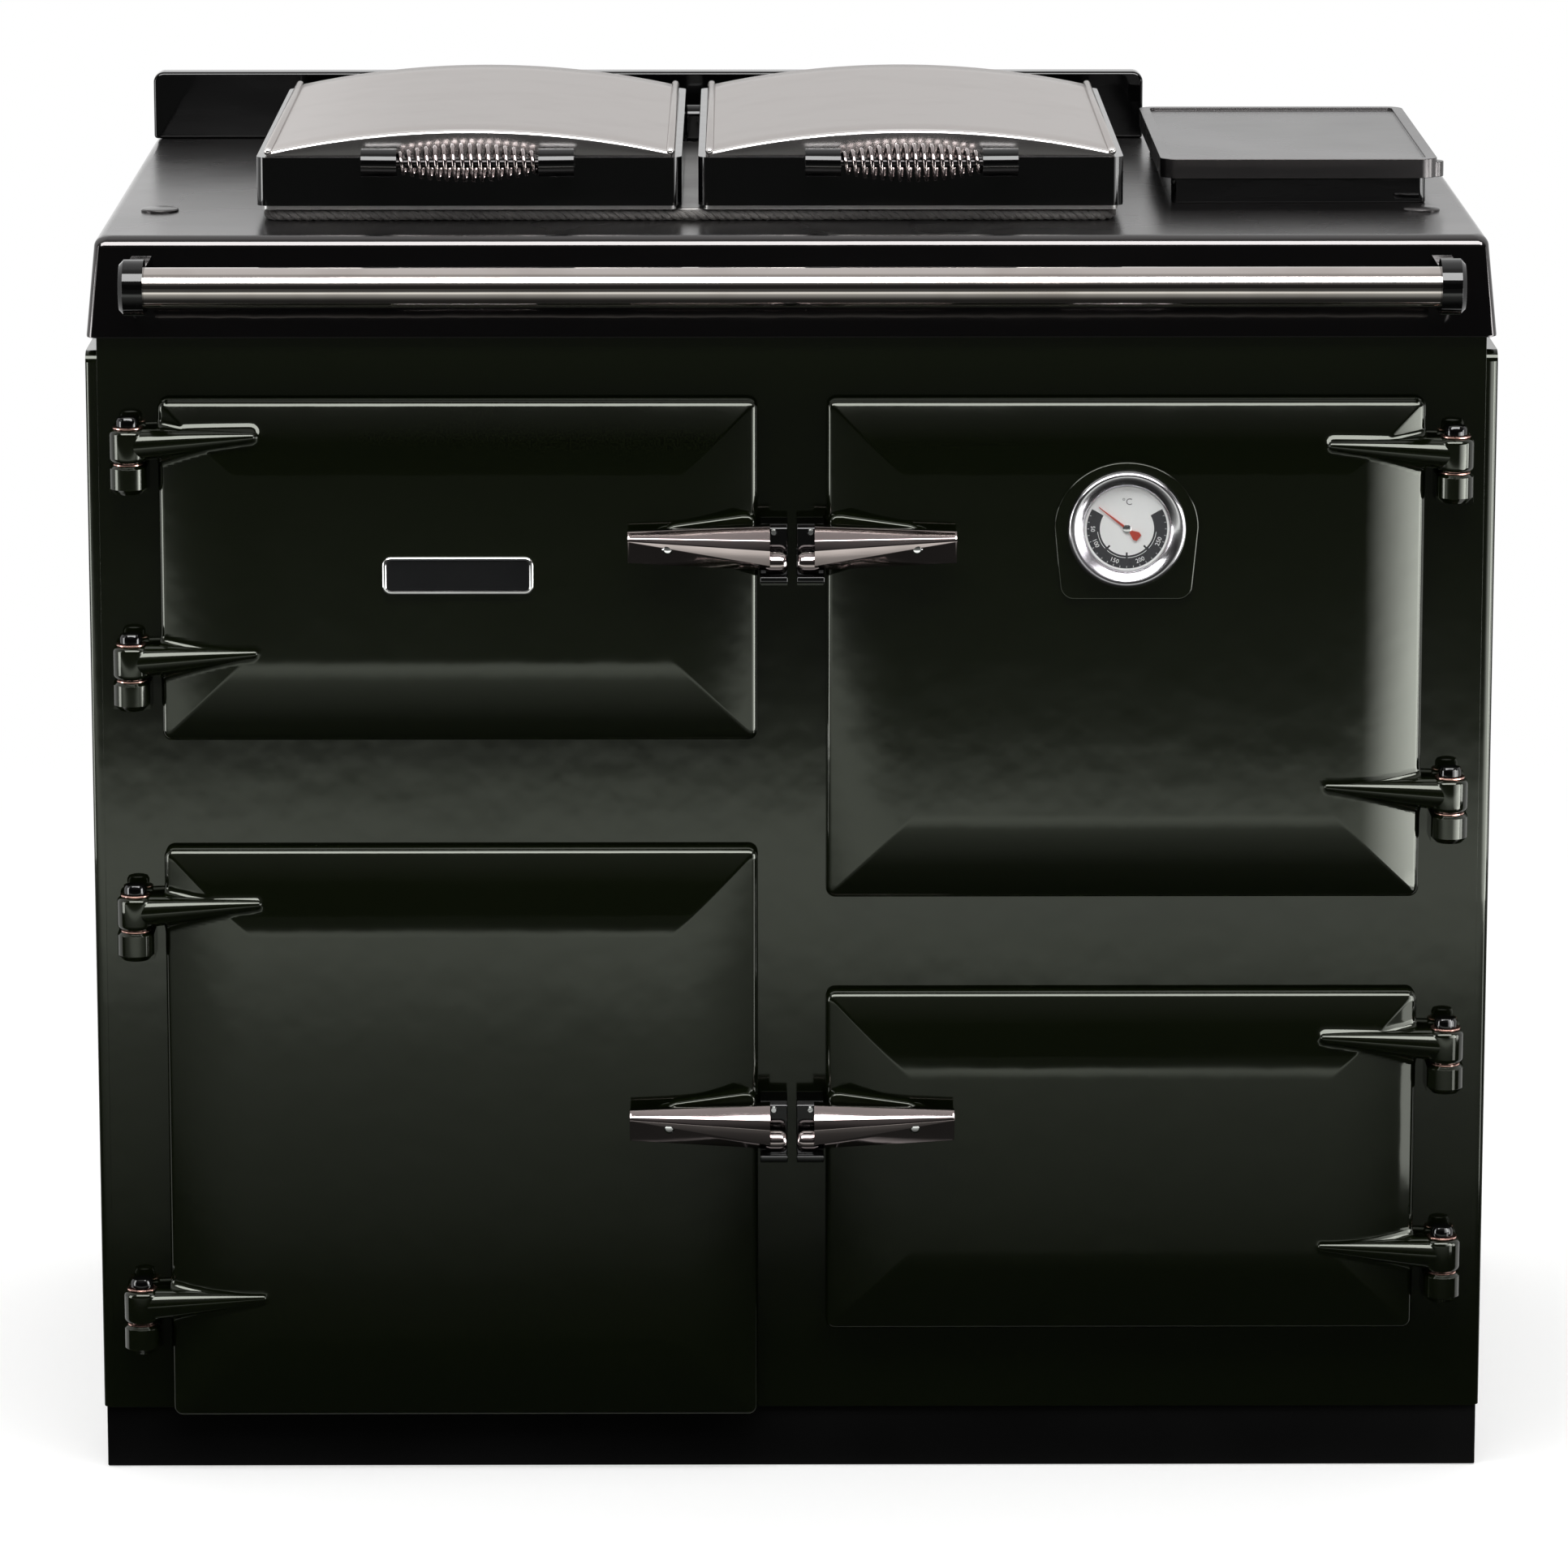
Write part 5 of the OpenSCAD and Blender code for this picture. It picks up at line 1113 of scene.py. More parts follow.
    def _back(self, bm: EditMesh, loop: list[bmesh.types.BMVert]) -> None:
        """Closes the casting with its side walls, back rim and pocket.

        Args:
            bm: The mesh.
            loop: The front face's outer vertices in order.
        """
        x0, x1 = self.inner + self.rim, self.inner + self.width - self.rim
        z0, z1 = self.low + self.rim, self.low + self.height - self.rim
        rings = [loop, [bm.verts.new((v.co.x, -self.gap - 0.8, v.co.z)) for v in loop]]
        middle = Vector((self.inner + self.width / 2, 0, self.low + self.height / 2))
        rings.append([bm.verts.new((v.co.x + math.copysign(0.8, middle.x - v.co.x), -self.gap,
                                    v.co.z + math.copysign(0.8, middle.z - v.co.z))) for v in loop])
        for depth in (-self.gap, -self.pocket):
            rings.append([bm.verts.new((min(max(v.co.x, x0), x1), depth, min(max(v.co.z, z0), z1)))
                          for v in loop])
        skin(bm, rings, False)
        bmesh.ops.remove_doubles(bm, verts=rings[-1] + rings[-2], dist=1e-4)
        bmesh.ops.dissolve_degenerate(bm, dist=1e-5, edges=bm.edges)

    def knuckles(self) -> EditMesh:
        """Both knuckles with their horns, which lie half in the casting."""
        parts = []
        half = self.knuckle_h / 2
        soft = 4.0
        profile = [(0, -half)] + arc(self.knuckle_r - soft, -half + soft, soft, -90, 0, 6)
        profile += [(r, -z) for r, z in profile[::-1]]
        straight = self.horn_len - self.horn_tip
        lean = (self.front - self.hinge_depth - 1.5) / self.horn_len
        rise = self.horn_rise / self.horn_len
        for z in self.hinges:
            place = Matrix.Translation((self.hinge_x, -self.hinge_depth, z))
            parts.append(moved(lathe(profile, 48), place))
            swell = [(self.horn_radius(straight * k / 12), straight * k / 12) for k in range(13)]
            tip = [(swell[-1][0] * math.cos(a), straight + self.horn_tip * math.sin(a))
                   for a in (math.radians(20 * k) for k in range(1, 5))]
            horn = lathe([(0, 0)] + swell + tip + [(0, self.horn_len)], 48)
            parts.append(moved(horn, turn(-90, "Y"), self._lean(lean, rise), place))
        return join(*parts)

    @staticmethod
    def _lean(slope: float, rise: float) -> Matrix:
        """Slants a bar that runs to -X towards the viewer and upwards."""
        slanted = Matrix.Identity(4)
        slanted[1][0] = slope
        slanted[2][0] = -rise
        return slanted

    def bracket(self) -> EditMesh:
        """Enamelled bracket under the handle."""
        z, x0 = self.handle_z, self.inner + 2
        outline = [(x0, z - 6), (x0, z + 18), (x0 + 4, z + 21), (x0 + 9, z + 21), (x0 + 57, z + 14.3),
                   (self.pivot + 4, z + 10.5), (self.pivot + 9, z + 6), (self.pivot + 9, z - 6)]
        body = ease(prism(outline, -33.5, -10.0, "Y"), 2.2, 3, 14.0)
        foot = lathe([(0, 0), (15, 0), (13, 1.4), (12, 4), (12, 10.5), (0, 10.5)], 40)
        return join(body, moved(foot, towards_viewer(self.pivot, -22.0, z)))

    def handle(self) -> EditMesh:
        """Faceted lever with its hook, as a right-hand mesh."""
        z, back = self.handle_z, self.handle_back
        root = [(0, -15.4), (14.1, -15.4), (20.5, -11.2), (22.0, 0.0), (20.0, 6.7), (12.1, 15.4), (0, 15.4)]
        tip = [(2.5, -11.4), (6.9, -11.4), (14.3, 4.6), (14.4, 5.4), (13.7, 7.4), (9.7, 11.4), (2.5, 11.4)]
        bm = bmesh.new()
        rings = []
        for x, share in ((15.5, 1.0), (114.0, 0.0)):
            rings.append([bm.verts.new((x, back - (a[0] * share + b[0] * (1 - share)),
                                        z + a[1] * share + b[1] * (1 - share))) for a, b in zip(root, tip)])
        skin(bm, rings)
        ease(bm, 0.35, 2, 8.0)
        cap = ease(prism([(back - y, z + s) for y, s in tip], 113.6, 115.0, "X"), 0.35, 2, 40.0)
        hook = lathe([(0, 0), (4.0, 0), (6.2, 0.8), (7.6, 2.6), (8.0, 5.0), (8.0, 12.0), (7.0, 15.0),
                      (0, 15.0)], 40)
        return join(bm, cap, moved(hook, turn(90, "Y"), Matrix.Translation((3.5, back - 11.0, z - 10.5))))

    def rope_path(self) -> list[Point]:
        """Centre line of the rope seal in millimetres, as right-hand points."""
        w, h = self.width - 2 * self.rope_inset, self.height - 2 * self.rope_inset
        y = -self.pocket + self.liner_reach + self.rope_lift + self.rope_r
        cx, cz = self.inner + self.width / 2, self.low + self.height / 2
        return [(cx + a, y, cz + b) for a, b in rounded_rect(w, h, self.rope_corner)]

    def build(self, shop: Workshop) -> None:
        """Makes and dresses the door's pieces."""
        side, body = self.side.value, self.name + "_door"
        casting = join(self.casting(), self.knuckles(), self.bracket())
        if self.dial_z is not None:
            casting = join(casting, self.boss())
        shop.piece(self.name + "_door_casting", mirrored(casting, side), Dress.DOOR_ENAMEL, body,
                   (body,), 44.0)
        shop.piece(self.name + "_latch_handle", mirrored(self.handle(), side), Dress.DARK_CHROME,
                   self.name + "_handle", (self.name + "_handle",), 30.0)
        stud = lathe([(0, 0), (4.0, 0), (4.0, 17.0), (2.6, 18.6), (0, 19.0)], 32)
        placed = moved(stud, towards_viewer(self.pivot, -32.0, self.handle_z))
        shop.piece(self.name + "_handle_stud", mirrored(placed, side), Dress.CHROME, body)
        path = [(side * x, y, z) for x, y, z in self.rope_path()]
        turns = round(2 * (self.width + self.height) / self.rope_pitch)
        shop.lay_rope(self.name + "_door_rope", path, turns, self.rope_r, (0.0, 1.0, 0.0), body,
                      self.name + "_rope_seal")
        shop.dress_node(self.name + "_liner", Dress.LINER)


# ---------- Hinges and catches on the front ----------


@dataclass
class FrontFurniture:
    """Hinge lugs, pins, washers and catches on the front plate."""

    doors: Sequence[Door]
    washer_r: float = 10.6
    washer_h: float = 1.25
    cap_r: float = 8.0
    cap_h: float = 7.5
    pin_r: float = 5.0
    pin_foot: float = -33.5
    lower_washer: float = -13.5
    upper_washer: float = 12.3
    catch_screw: Point = (13.0, -30.4, 8.5)

    def pin(self, door: Door, z: float) -> tuple[EditMesh, EditMesh]:
        """A black pin with its cap, and its two chrome washers, tinted pink as a painted reflection, at one
        of a door's hinges.
        """
        low, top = self.lower_washer, self.upper_washer
        foot, r = top + self.washer_h, self.cap_r
        place = Matrix.Translation((door.side.value * door.hinge_x, -door.hinge_depth, z))
        cap = lathe([(0, self.pin_foot), (self.pin_r, self.pin_foot), (self.pin_r, foot), (r - 0.6, foot),
                     (r, foot + 0.6), (r, foot + 4.6), (r - 1.2, foot + 6.6), (4.6, foot + self.cap_h - 0.15),
                     (0, foot + self.cap_h)], 40)
        rings = []
        for foot in (low, top - 0.05):
            r = self.washer_r
            rings.append(lathe([(0, foot), (r - 0.3, foot), (r, foot + 0.3), (r, foot + self.washer_h - 0.3),
                                (r - 0.3, foot + self.washer_h), (0, foot + self.washer_h)], 40))
        return moved(cap, place), moved(join(*rings), place)

    def build(self, shop: Workshop) -> None:
        """Makes and dresses the hinges' fixed pieces and the catches."""
        shop.softened("hinge_lugs", Dress.DOOR_ENAMEL, "cooker", 1.2, 3)
        caps, washers = [], []
        for door in self.doors:
            for z in door.hinges:
                cap, rings = self.pin(door, z)
                caps.append(cap)
                washers.append(rings)
        shop.piece("hinge_pin_caps", join(*caps), Dress.TOP_ENAMEL, "cooker", ("hinge_pins",))
        shop.piece("hinge_washers", join(*washers), Dress.BRONZE, "cooker")
        shop.softened("door_catches", Dress.TOP_ENAMEL, "cooker", 0.8, 2)
        x, y, rise = self.catch_screw
        points = [(door.side.value * x, y, door.handle_z + rise) for door in self.doors]
        shop.set_screws("catch_screws", points, (2.4, 1.6), 90, Dress.CHROME)


# ---------- Thermometer and plate ----------


@dataclass
class Thermometer:
    """Oven thermometer: chrome bezel, printed dial, pointer and glass.

    The values that end in _at are heights of the printed layers above the boss's face.
    """

    x: float = 234.25
    z: float = 692.0
    face: float = -28.0
    case_r: float = 41.5
    dial_r: float = 30.0
    band: tuple[float, float] = (19.0, 28.2)
    cold: float = 142.0
    band_at: float = 3.5
    unit_at: float = 3.56
    ticks_at: float = 3.57
    edges_at: float = 3.58
    figures_at: float = 3.62
    needle_at: float = 3.95

    def stand(self, bm: EditMesh, rise: float = 0.0) -> EditMesh:
        """Puts a shape drawn flat about Z on the boss's face."""
        return moved(bm, towards_viewer(self.x, self.face - rise, self.z))

    def sector(self, r0: float, r1: float, start: float, end: float, rise: float, thick: float) -> EditMesh:
        """Flat ring sector on the dial; angles in degrees, counted to the left from the right."""
        count = max(int(abs(end - start) / 3), 2)
        outline = arc(0, 0, r1, start, end, count) + arc(0, 0, r0, start, end, count)[::-1]
        return self.stand(prism(outline, 0, thick, "Z"), rise)

    def words(self, text: str, angle: float, radius: float, size: float, rise: float,
              upright: bool) -> EditMesh:
        """Raised figures that stand on the dial.

        Args:
            text: The figures.
            angle: Where their middle stands, in degrees.
            radius: Distance of their middle from the dial's middle.
            size: Height of the figures.
            rise: Height above the boss's face.
            upright: Whether their feet point at the dial's middle, and not away from it.

        Returns:
            The mesh in millimetres.
        """
        curve = bpy.data.curves.new("figures", "FONT")
        curve.body = text
        curve.size = size
        curve.align_x = "CENTER"
        curve.align_y = "CENTER"
        curve.extrude = 0.04
        curve.resolution_u = 3
        a = math.radians(angle)
        bm = moved(from_mesh(evaluated(in_scene("figures", curve))),
                   turn(angle - 90 if upright else angle + 90, "Z"),
                   Matrix.Translation((radius * math.cos(a), radius * math.sin(a), 0)))
        return self.stand(bm, rise)

    def bezel(self) -> EditMesh:
        """Polished case whose rim falls in towards the dial."""
        r, m = self.case_r, self.dial_r
        rim = [(r - 0.1, 6.6), (r - 0.8, 8.6), (r - 2.0, 9.6), (r - 3.4, 9.8), (r - 5.0, 9.4), (m + 4.2, 8.0),
               (m + 1.8, 6.4), (m + 0.5, 5.2), (m, 4.2)]
        side = [(0, -1), (r - 0.4, -1), (r, 0.4), (r, 3.2)]
        return self.stand(lathe(side + rim + [(m, 1.4), (0, 1.4)], 96))

    def needle(self) -> EditMesh:
        """Red pointer: a fine point and a spade-shaped tail."""
        outline = [(0.0, -0.9), (25.0, -0.22), (25.0, 0.22), (0.0, 0.9), (-3.0, 1.0), (-8.2, 3.4),
                   (-10.6, 2.6), (-10.6, -2.6), (-8.2, -3.4), (-3.0, -1.0)]
        return self.stand(moved(prism(outline, 0, 0.5, "Z"), turn(self.cold, "Z")), self.needle_at)

    def build(self, shop: Workshop) -> None:
        """Makes and dresses the thermometer."""
        body = "upper_right_door"
        shop.piece("thermometer_bezel", self.bezel(), Dress.BEZEL, body, ("thermometer_case",), 40.0)
        shop.dress_node("thermometer_dial", Dress.DIAL)
        shop.dress_node("thermometer_glass", Dress.GLASS)
        band = self.sector(*self.band, 150, 390, self.band_at, 0.07)
        edges = [self.sector(self.band[0] + 1.4, self.band[0] + 1.75, a, b, self.edges_at, 0.03)
                 for a, b in ((186, 222), (228, 268), (272, 312), (318, 354))]
        shop.piece("dial_band", band, Dress.PRINT, body)
        ticks = shop.grown(shop.tools.ring, base_points(), Dress.PRINT, {
            "Count": 3, "First angle": math.radians(225), "Step angle": math.radians(45), "Radius": 18.1,
            "Height": 0.03, "Bar": (2.6, 1.3, 0.06)})
        shop.piece("dial_ticks", self.stand(ticks, self.band_at), Dress.PRINT, body)
        fine = shop.grown(shop.tools.ring, base_points(), Dress.DIAL, {
            "Count": 25, "First angle": math.radians(150), "Step angle": math.radians(10), "Radius": 27.2,
            "Height": 0.02, "Bar": (1.3, 0.28, 0.05)})
        shop.piece("dial_scale", join(self.stand(fine, self.ticks_at), *edges), Dress.DIAL, body)
        figures = join(*[self.words(t, a, 24.0, 4.3, self.figures_at, False)
                         for t, a in (("50", 180), ("100", 205), ("150", 249), ("200", 293), ("250", 338))])
        shop.piece("dial_figures", figures, Dress.DIAL, body)
        unit = self.words("°C", 90, 19.0, 6.5, self.unit_at, True)
        shop.piece("dial_unit", unit, Dress.GREY_PRINT, body)
        shop.piece("thermometer_needle", self.needle(), Dress.POINTER, "thermometer_pointer",
                   ("thermometer_pointer",))
        hub = lathe([(0, 0), (3.0, 0), (3.0, 0.5), (2.2, 0.85), (0, 0.9)], 32)
        shop.piece("thermometer_hub", self.stand(hub, self.needle_at), Dress.STEEL, "thermometer_pointer")


@dataclass
class NamePlate:
    """Bare plate on the upper left door: chrome rim and plain dark field."""

    x: float = -234.25
    z: float = 658.0
    w: float = 106.0
    h: float = 27.0
    face: float = -25.0

    def build(self, shop: Workshop) -> None:
        """Makes and dresses the plate."""
        body = "upper_left_door"
        rings = [rounded_rect(self.w - 2 * i, self.h - 2 * i, max(6 - i, 2.5), 5)
                 for i in (0, 0, 0.9, 2.1, 3.0)]
        depths = (0.2, -2.1, -3.0, -3.0, -1.8)
        bm = bmesh.new()
        loops = [[bm.verts.new((self.x + a, self.face + d, self.z + b)) for a, b in ring]
                 for ring, d in zip(rings, depths)]
        skin(bm, loops)
        shop.piece("plain_plate_rim", bm, Dress.CHROME, body, ("door_badge",), 50.0)
        inside = [(self.x + a, self.z + b) for a, b in rounded_rect(self.w - 5.9, self.h - 5.9, 3.4, 5)]
        shop.piece("plain_plate_field", prism(inside, self.face - 2.0, self.face, "Y"), Dress.FIELD, body)


# ---------- Cabinet and top ----------


@dataclass
class TopPlate:
    """Enamelled top plate with its slanted skirt and soft upper edge."""

    half_w: float = 494.0
    side_lean: float = 6.0
    front_low: float = -5.0
    front_lean: float = 15.0
    back: float = 600.0
    low: float = 823.0
    high: float = 893.0
    edge_r: float = 8.0
    wall: float = 5.0
    corner: float = 7.0
    inside_drop: float = 9.0
    skirt: Section = ((1.2, 0.0), (0.3, 0.5), (0.0, 1.6), (0.0, 20.0), (0.0, 45.0))

    def ring(self, inset: float, z: float) -> list[Point]:
        """Outline at a height: inset 0 is the skirt's outside at that height."""
        corner = self.corner
        share = min(max((z - self.low) / (self.high - self.low), 0.0), 1.0)
        half = self.half_w - self.side_lean * share - inset
        front = self.front_low + self.front_lean * share + inset
        points = [(half, self.back, z), (-half, self.back, z)]
        for cx, cy, start in ((-half + corner, front + corner, 180), (half - corner, front + corner, 270)):
            points += [(x, y, z) for x, y in arc(cx, cy, corner, start, start + 90, 6)]
        return points

    def build(self, shop: Workshop) -> None:
        """Makes the shell: down inside, out at the low rim, up the skirt and over the rolled edge."""
        r = self.edge_r
        rings = [self.ring(self.wall, self.high - self.inside_drop), self.ring(self.wall, self.low)]
        rings += [self.ring(inset, self.low + up) for inset, up in self.skirt]
        rings.append(self.ring(0.0, self.high - r))
        share = (self.high - r - self.low) / (self.high - self.low)
        for a in range(10, 91, 10):
            drop = r - r * math.sin(math.radians(a))
            inset = r - r * math.cos(math.radians(a))
            z = self.high - drop
            slip = self.front_lean * ((z - self.low) / (self.high - self.low) - share)
            rings.append(self.ring(max(inset - slip * 0.4, 0.0), z))
        bm = bmesh.new()
        skin(bm, [[bm.verts.new(p) for p in ring] for ring in rings])
        shop.piece("top_plate_shell", bm, Dress.TOP_PLATE, "cooker", ("top_plate",), 50.0, True)


@dataclass
class Cabinet:
    """The fixed body: panels, plinth, top, flue, rail, ovens, boiler and back."""

    screw_x: tuple[float, float] = (-475.0, 475.0)
    screw_z: tuple[float, ...] = (75.0, 311.0, 547.0, 783.0)
    back: float = 600.0
    screw_lift: float = 1.2
    rail_half: float = 452.7
    rail_r: float = 14.0
    rail_at: Point = (0.0, -60.0, 867.0)
    plug_at: Point = (452.0, 142.0, 893.0)

    def build(self, shop: Workshop) -> None:
        """Makes and dresses the cabinet."""
        body = "cooker"
        TopPlate().build(shop)
        for node, dress, width, steps, corner in (
                ("front_plate", Dress.DOOR_ENAMEL, 1.0, 2, 0.0),
                ("left_side_panel", Dress.DOOR_ENAMEL, 1.0, 3, 6.5),
                ("right_side_panel", Dress.DOOR_ENAMEL, 1.0, 3, 6.5),
                ("splashback", Dress.TOP_ENAMEL, 2.4, 3, 0.0),
                ("flue_cover", Dress.TOP_PLATE, 1.4, 3, 0.0),
                ("flue_chamber", Dress.TOP_ENAMEL, 1.0, 2, 0.0),
                ("lid_hinge", Dress.TOP_ENAMEL, 1.0, 2, 0.0),
                ("rail_brackets", Dress.TOP_ENAMEL, 1.2, 3, 0.0)):
            shop.softened(node, dress, body, width, steps, corner)
        self.rail(shop)
        self.plugs(shop)
        shop.softened("plinth", Dress.PLINTH, body, 1.0, 2)
        shop.softened("hotplate", Dress.GROUND_IRON, body, 1.5, 3)
        for node, dress in (("flue_spigot", Dress.IRON), ("back_panel", Dress.PLATED),
                            ("main_oven_box", Dress.OVEN_ENAMEL), ("lower_oven_box", Dress.OVEN_ENAMEL),
                            ("main_oven_shelf", Dress.CHROME), ("lower_oven_shelf", Dress.CHROME),
                            ("boiler_body", Dress.IRON), ("burner", Dress.BURNER),
                            ("control_panel", Dress.PLATED)):
            shop.dress_node(node, dress)
        points = [(x, self.back + self.screw_lift, z) for x in self.screw_x for z in self.screw_z]
        shop.set_screws("back_screws", points, (5.0, 2.4), -90, Dress.STEEL, ("back_panel_screws",))

    def rail(self, shop: Workshop) -> None:
        """Towel rail: a polished tube with eased ends."""
        half, r = self.rail_half, self.rail_r
        tube = lathe([(0, -half), (r - 0.8, -half), (r, -half + 0.8), (r, half - 0.8), (r - 0.8, half),
                      (0, half)], 96)
        moved(tube, turn(90, "Y"), Matrix.Translation(self.rail_at))
        shop.piece("towel_rail_tube", tube, Dress.RAIL_CHROME, "cooker", ("towel_rail",))

    def plugs(self, shop: Workshop) -> None:
        """Round plugs in the top plate's corners."""
        x, y, z = self.plug_at
        profile = [(0, -7.5), (9.2, -7.5), (9.2, 0), (13.5, 0), (13.5, 1.2), (12.9, 2.0), (11.6, 2.4),
                   (0, 2.5)]
        parts = [moved(lathe(profile, 48), Matrix.Translation((side * x, y, z))) for side in (-1, 1)]
        shop.piece("top_plugs", join(*parts), Dress.TOP_PLATE, "cooker", ("top_plate_plugs",))


@dataclass
class Knob:
    """A fluted control knob behind the upper left door."""

    name: str
    x: float
    z: float = 658.9
    r: float = 24.0
    h: float = 18.0
    flutes: int = 24
    fascia: float = 54.0

    def build(self, shop: Workshop) -> None:
        """Makes the knob's body, flutes and pointer mark."""
        dress = Dress.KNOB
        body = lathe([(0, 0.3), (self.r - 3, 0.3), (self.r - 1.6, 1.5), (self.r - 2.2, self.h - 2.2),
                      (self.r - 3.6, self.h - 0.6), (self.r - 6, self.h), (0, self.h - 0.6)], 72)
        flutes = shop.grown(shop.tools.ring, base_points(), dress, {
            "Count": self.flutes, "First angle": 0.0, "Step angle": 2 * math.pi / self.flutes,
            "Radius": self.r - 1.9, "Height": self.h / 2 - 0.6, "Bar": (2.6, 2.6, self.h - 3.4)})
        stand = towards_viewer(self.x, self.fascia, self.z)
        whole = moved(join(body, ease(flutes, 0.6, 2)), stand)
        shop.piece(self.name + "_turned", whole, dress, self.name, (self.name,), 40.0)
        mark = prism([(-0.8, 9), (0.8, 9), (0.8, 19), (-0.8, 19)], self.h - 0.9, self.h - 0.1, "Z")
        shop.piece(self.name + "_mark", moved(ease(mark, 0.2, 1), stand), Dress.DIAL, self.name)


# ---------- Lids ----------


@dataclass
class Lid:
    """One hotplate lid: enamelled frame, polished dome, coiled handle and liner."""

    name: str
    x: float
    width: float = 301.5
    front: float = 83.0
    depth: float = 418.0
    base: float = 939.0
    inset: float = 7.5
    side_h: float = 3.5
    rise: float = 15.5
    bead_r: float = 3.0
    round_r: float = 3.0
    curls: int = 16
    coil_len: float = 99.0
    coil_r: tuple[float, float] = (6.2, 12.5)
    wire_r: float = 1.5
    coil_y: float = 61.0
    coil_z: float = 938.0

    def dome(self) -> EditMesh:
        """Polished arch with upright ends, a soft front edge and rolled beads."""
        half = self.width / 2 - self.inset
        radius = (half * half + self.rise * self.rise) / (2 * self.rise)
        y0, y1 = self.front + self.inset, self.front + self.depth - self.inset
        crown = self.base + self.side_h + self.rise
        across = [(-half + 2 * half * k / 72) for k in range(73)]
        tops = [crown - radius + math.sqrt(radius * radius - x * x) for x in across]
        r = self.round_r
        edge = arc(r, -r, r, 180, 90, 4)
        # Each row's place along the lid and its drop under the arch; the base stops every drop.
        rows = [(y0, crown)] + [(y0 + a, -b) for a, b in edge]
        rows += [(y0 + r + (y1 - y0 - 2 * r) * k / 12, 0.0) for k in range(1, 12)]
        rows += [(y1 - a, -b) for a, b in edge[::-1]] + [(y1, crown)]
        bm = bmesh.new()
        grid = [[bm.verts.new((self.x + x, y, max(top - drop, self.base - 0.5)))
                 for x, top in zip(across, tops)] for y, drop in rows]
        for low, high in zip(grid, grid[1:]):
            for k in range(len(across) - 1):
                bm.faces.new((low[k], low[k + 1], high[k + 1], high[k]))
        for column in (0, -1):
            bm.faces.new([row[column] for row in grid])
        bm.faces.new(grid[0] + grid[-1][::-1])
        ball = arc(0, 0, self.bead_r, -90, 0, 6)
        profile = ball + [(a, y1 - y0 - 2 - z) for a, z in reversed(ball)]
        beads = [moved(lathe(profile, 20), turn(-90, "X"),
                       Matrix.Translation((self.x + side * (half - 0.5), y0 + 1, self.base + self.side_h)))
                 for side in (-1, 1)]
        return join(bm, *beads)

    def build(self, shop: Workshop) -> None:
        """Makes and dresses the lid."""
        shop.piece(self.name + "_polished_dome", self.dome(), Dress.LID_CHROME, self.name,
                   (self.name + "_dome",), 50.0)
        shop.softened(self.name + "_frame", Dress.TOP_ENAMEL, self.name, 1.6, 3)
        coil = shop.grown(shop.tools.spring, base_points(), Dress.SPRING_CHROME, {
            "Length": self.coil_len, "Curls": float(self.curls), "End radius": self.coil_r[0],
            "Middle radius": self.coil_r[1], "Wire radius": self.wire_r, "Steps": self.curls * 22})
        moved(coil, Matrix.Translation((self.x, self.coil_y, self.coil_z)))
        shop.piece(self.name + "_spring", coil, Dress.SPRING_CHROME, self.name,
                   (self.name + "_handle_coil",), 60.0)
        shop.dress_node(self.name + "_handle_rod", Dress.BLACKED_STEEL)
        shop.dress_node(self.name + "_liner", Dress.LINER)


@dataclass
class HotplateSeal:
    """Braided rope around the hotplate."""

    x0: float = -371.05
    x1: float = 227.65
    y0: float = 91.0
    y1: float = 479.0
    z: float = 897.0
    r: float = 4.0
    corner: float = 10.0
    pitch: float = 19.0

    def build(self, shop: Workshop) -> None:
        """Lays the rope."""
        w, d = self.x1 - self.x0, self.y1 - self.y0
        cx, cy = (self.x0 + self.x1) / 2, (self.y0 + self.y1) / 2
        path = [(cx + a, cy + b, self.z) for a, b in rounded_rect(w, d, self.corner)]
        turns = round(2 * (w + d) / self.pitch)
        shop.lay_rope("hotplate_rope", path, turns, self.r, (0.0, 0.0, 1.0), "cooker", "hotplate_rope_seal")


# ---------- Studio ----------


@dataclass
class Lamp:
    """A soft rectangular lamp, a card that only gloss sees, or a fill that gloss doesn't see."""

    name: str
    place: Point
    aim: Point
    size: tuple[float, float]
    radiance: float
    matt_sees: bool = True
    gloss_sees: bool = True
    fades: bool = False

    def build(self) -> None:
        """Hangs the lamp, with the power that gives its surface the stated radiance."""
        light = bpy.data.lights.new(self.name, "AREA")
        light.shape = "RECTANGLE"
        light.size, light.size_y = self.size
        light.energy = self.radiance * math.pi * self.size[0] * self.size[1]
        if self.fades:
            light.use_nodes = True
            w = Wiring(light.node_tree)
            level = w.math("POWER", w.axis(w.add("ShaderNodeNewGeometry").outputs["Parametric"], 0), 1.3)
            w.link(level, light.node_tree.nodes["Emission"].inputs["Strength"])
        lamp = in_scene(self.name, light)
        lamp.visible_camera = False
        lamp.visible_diffuse = self.matt_sees
        lamp.visible_glossy = self.gloss_sees
        lamp.location = self.place
        lamp.rotation_euler = (Vector(self.aim) - Vector(self.place)).to_track_quat("-Z", "Y").to_euler()


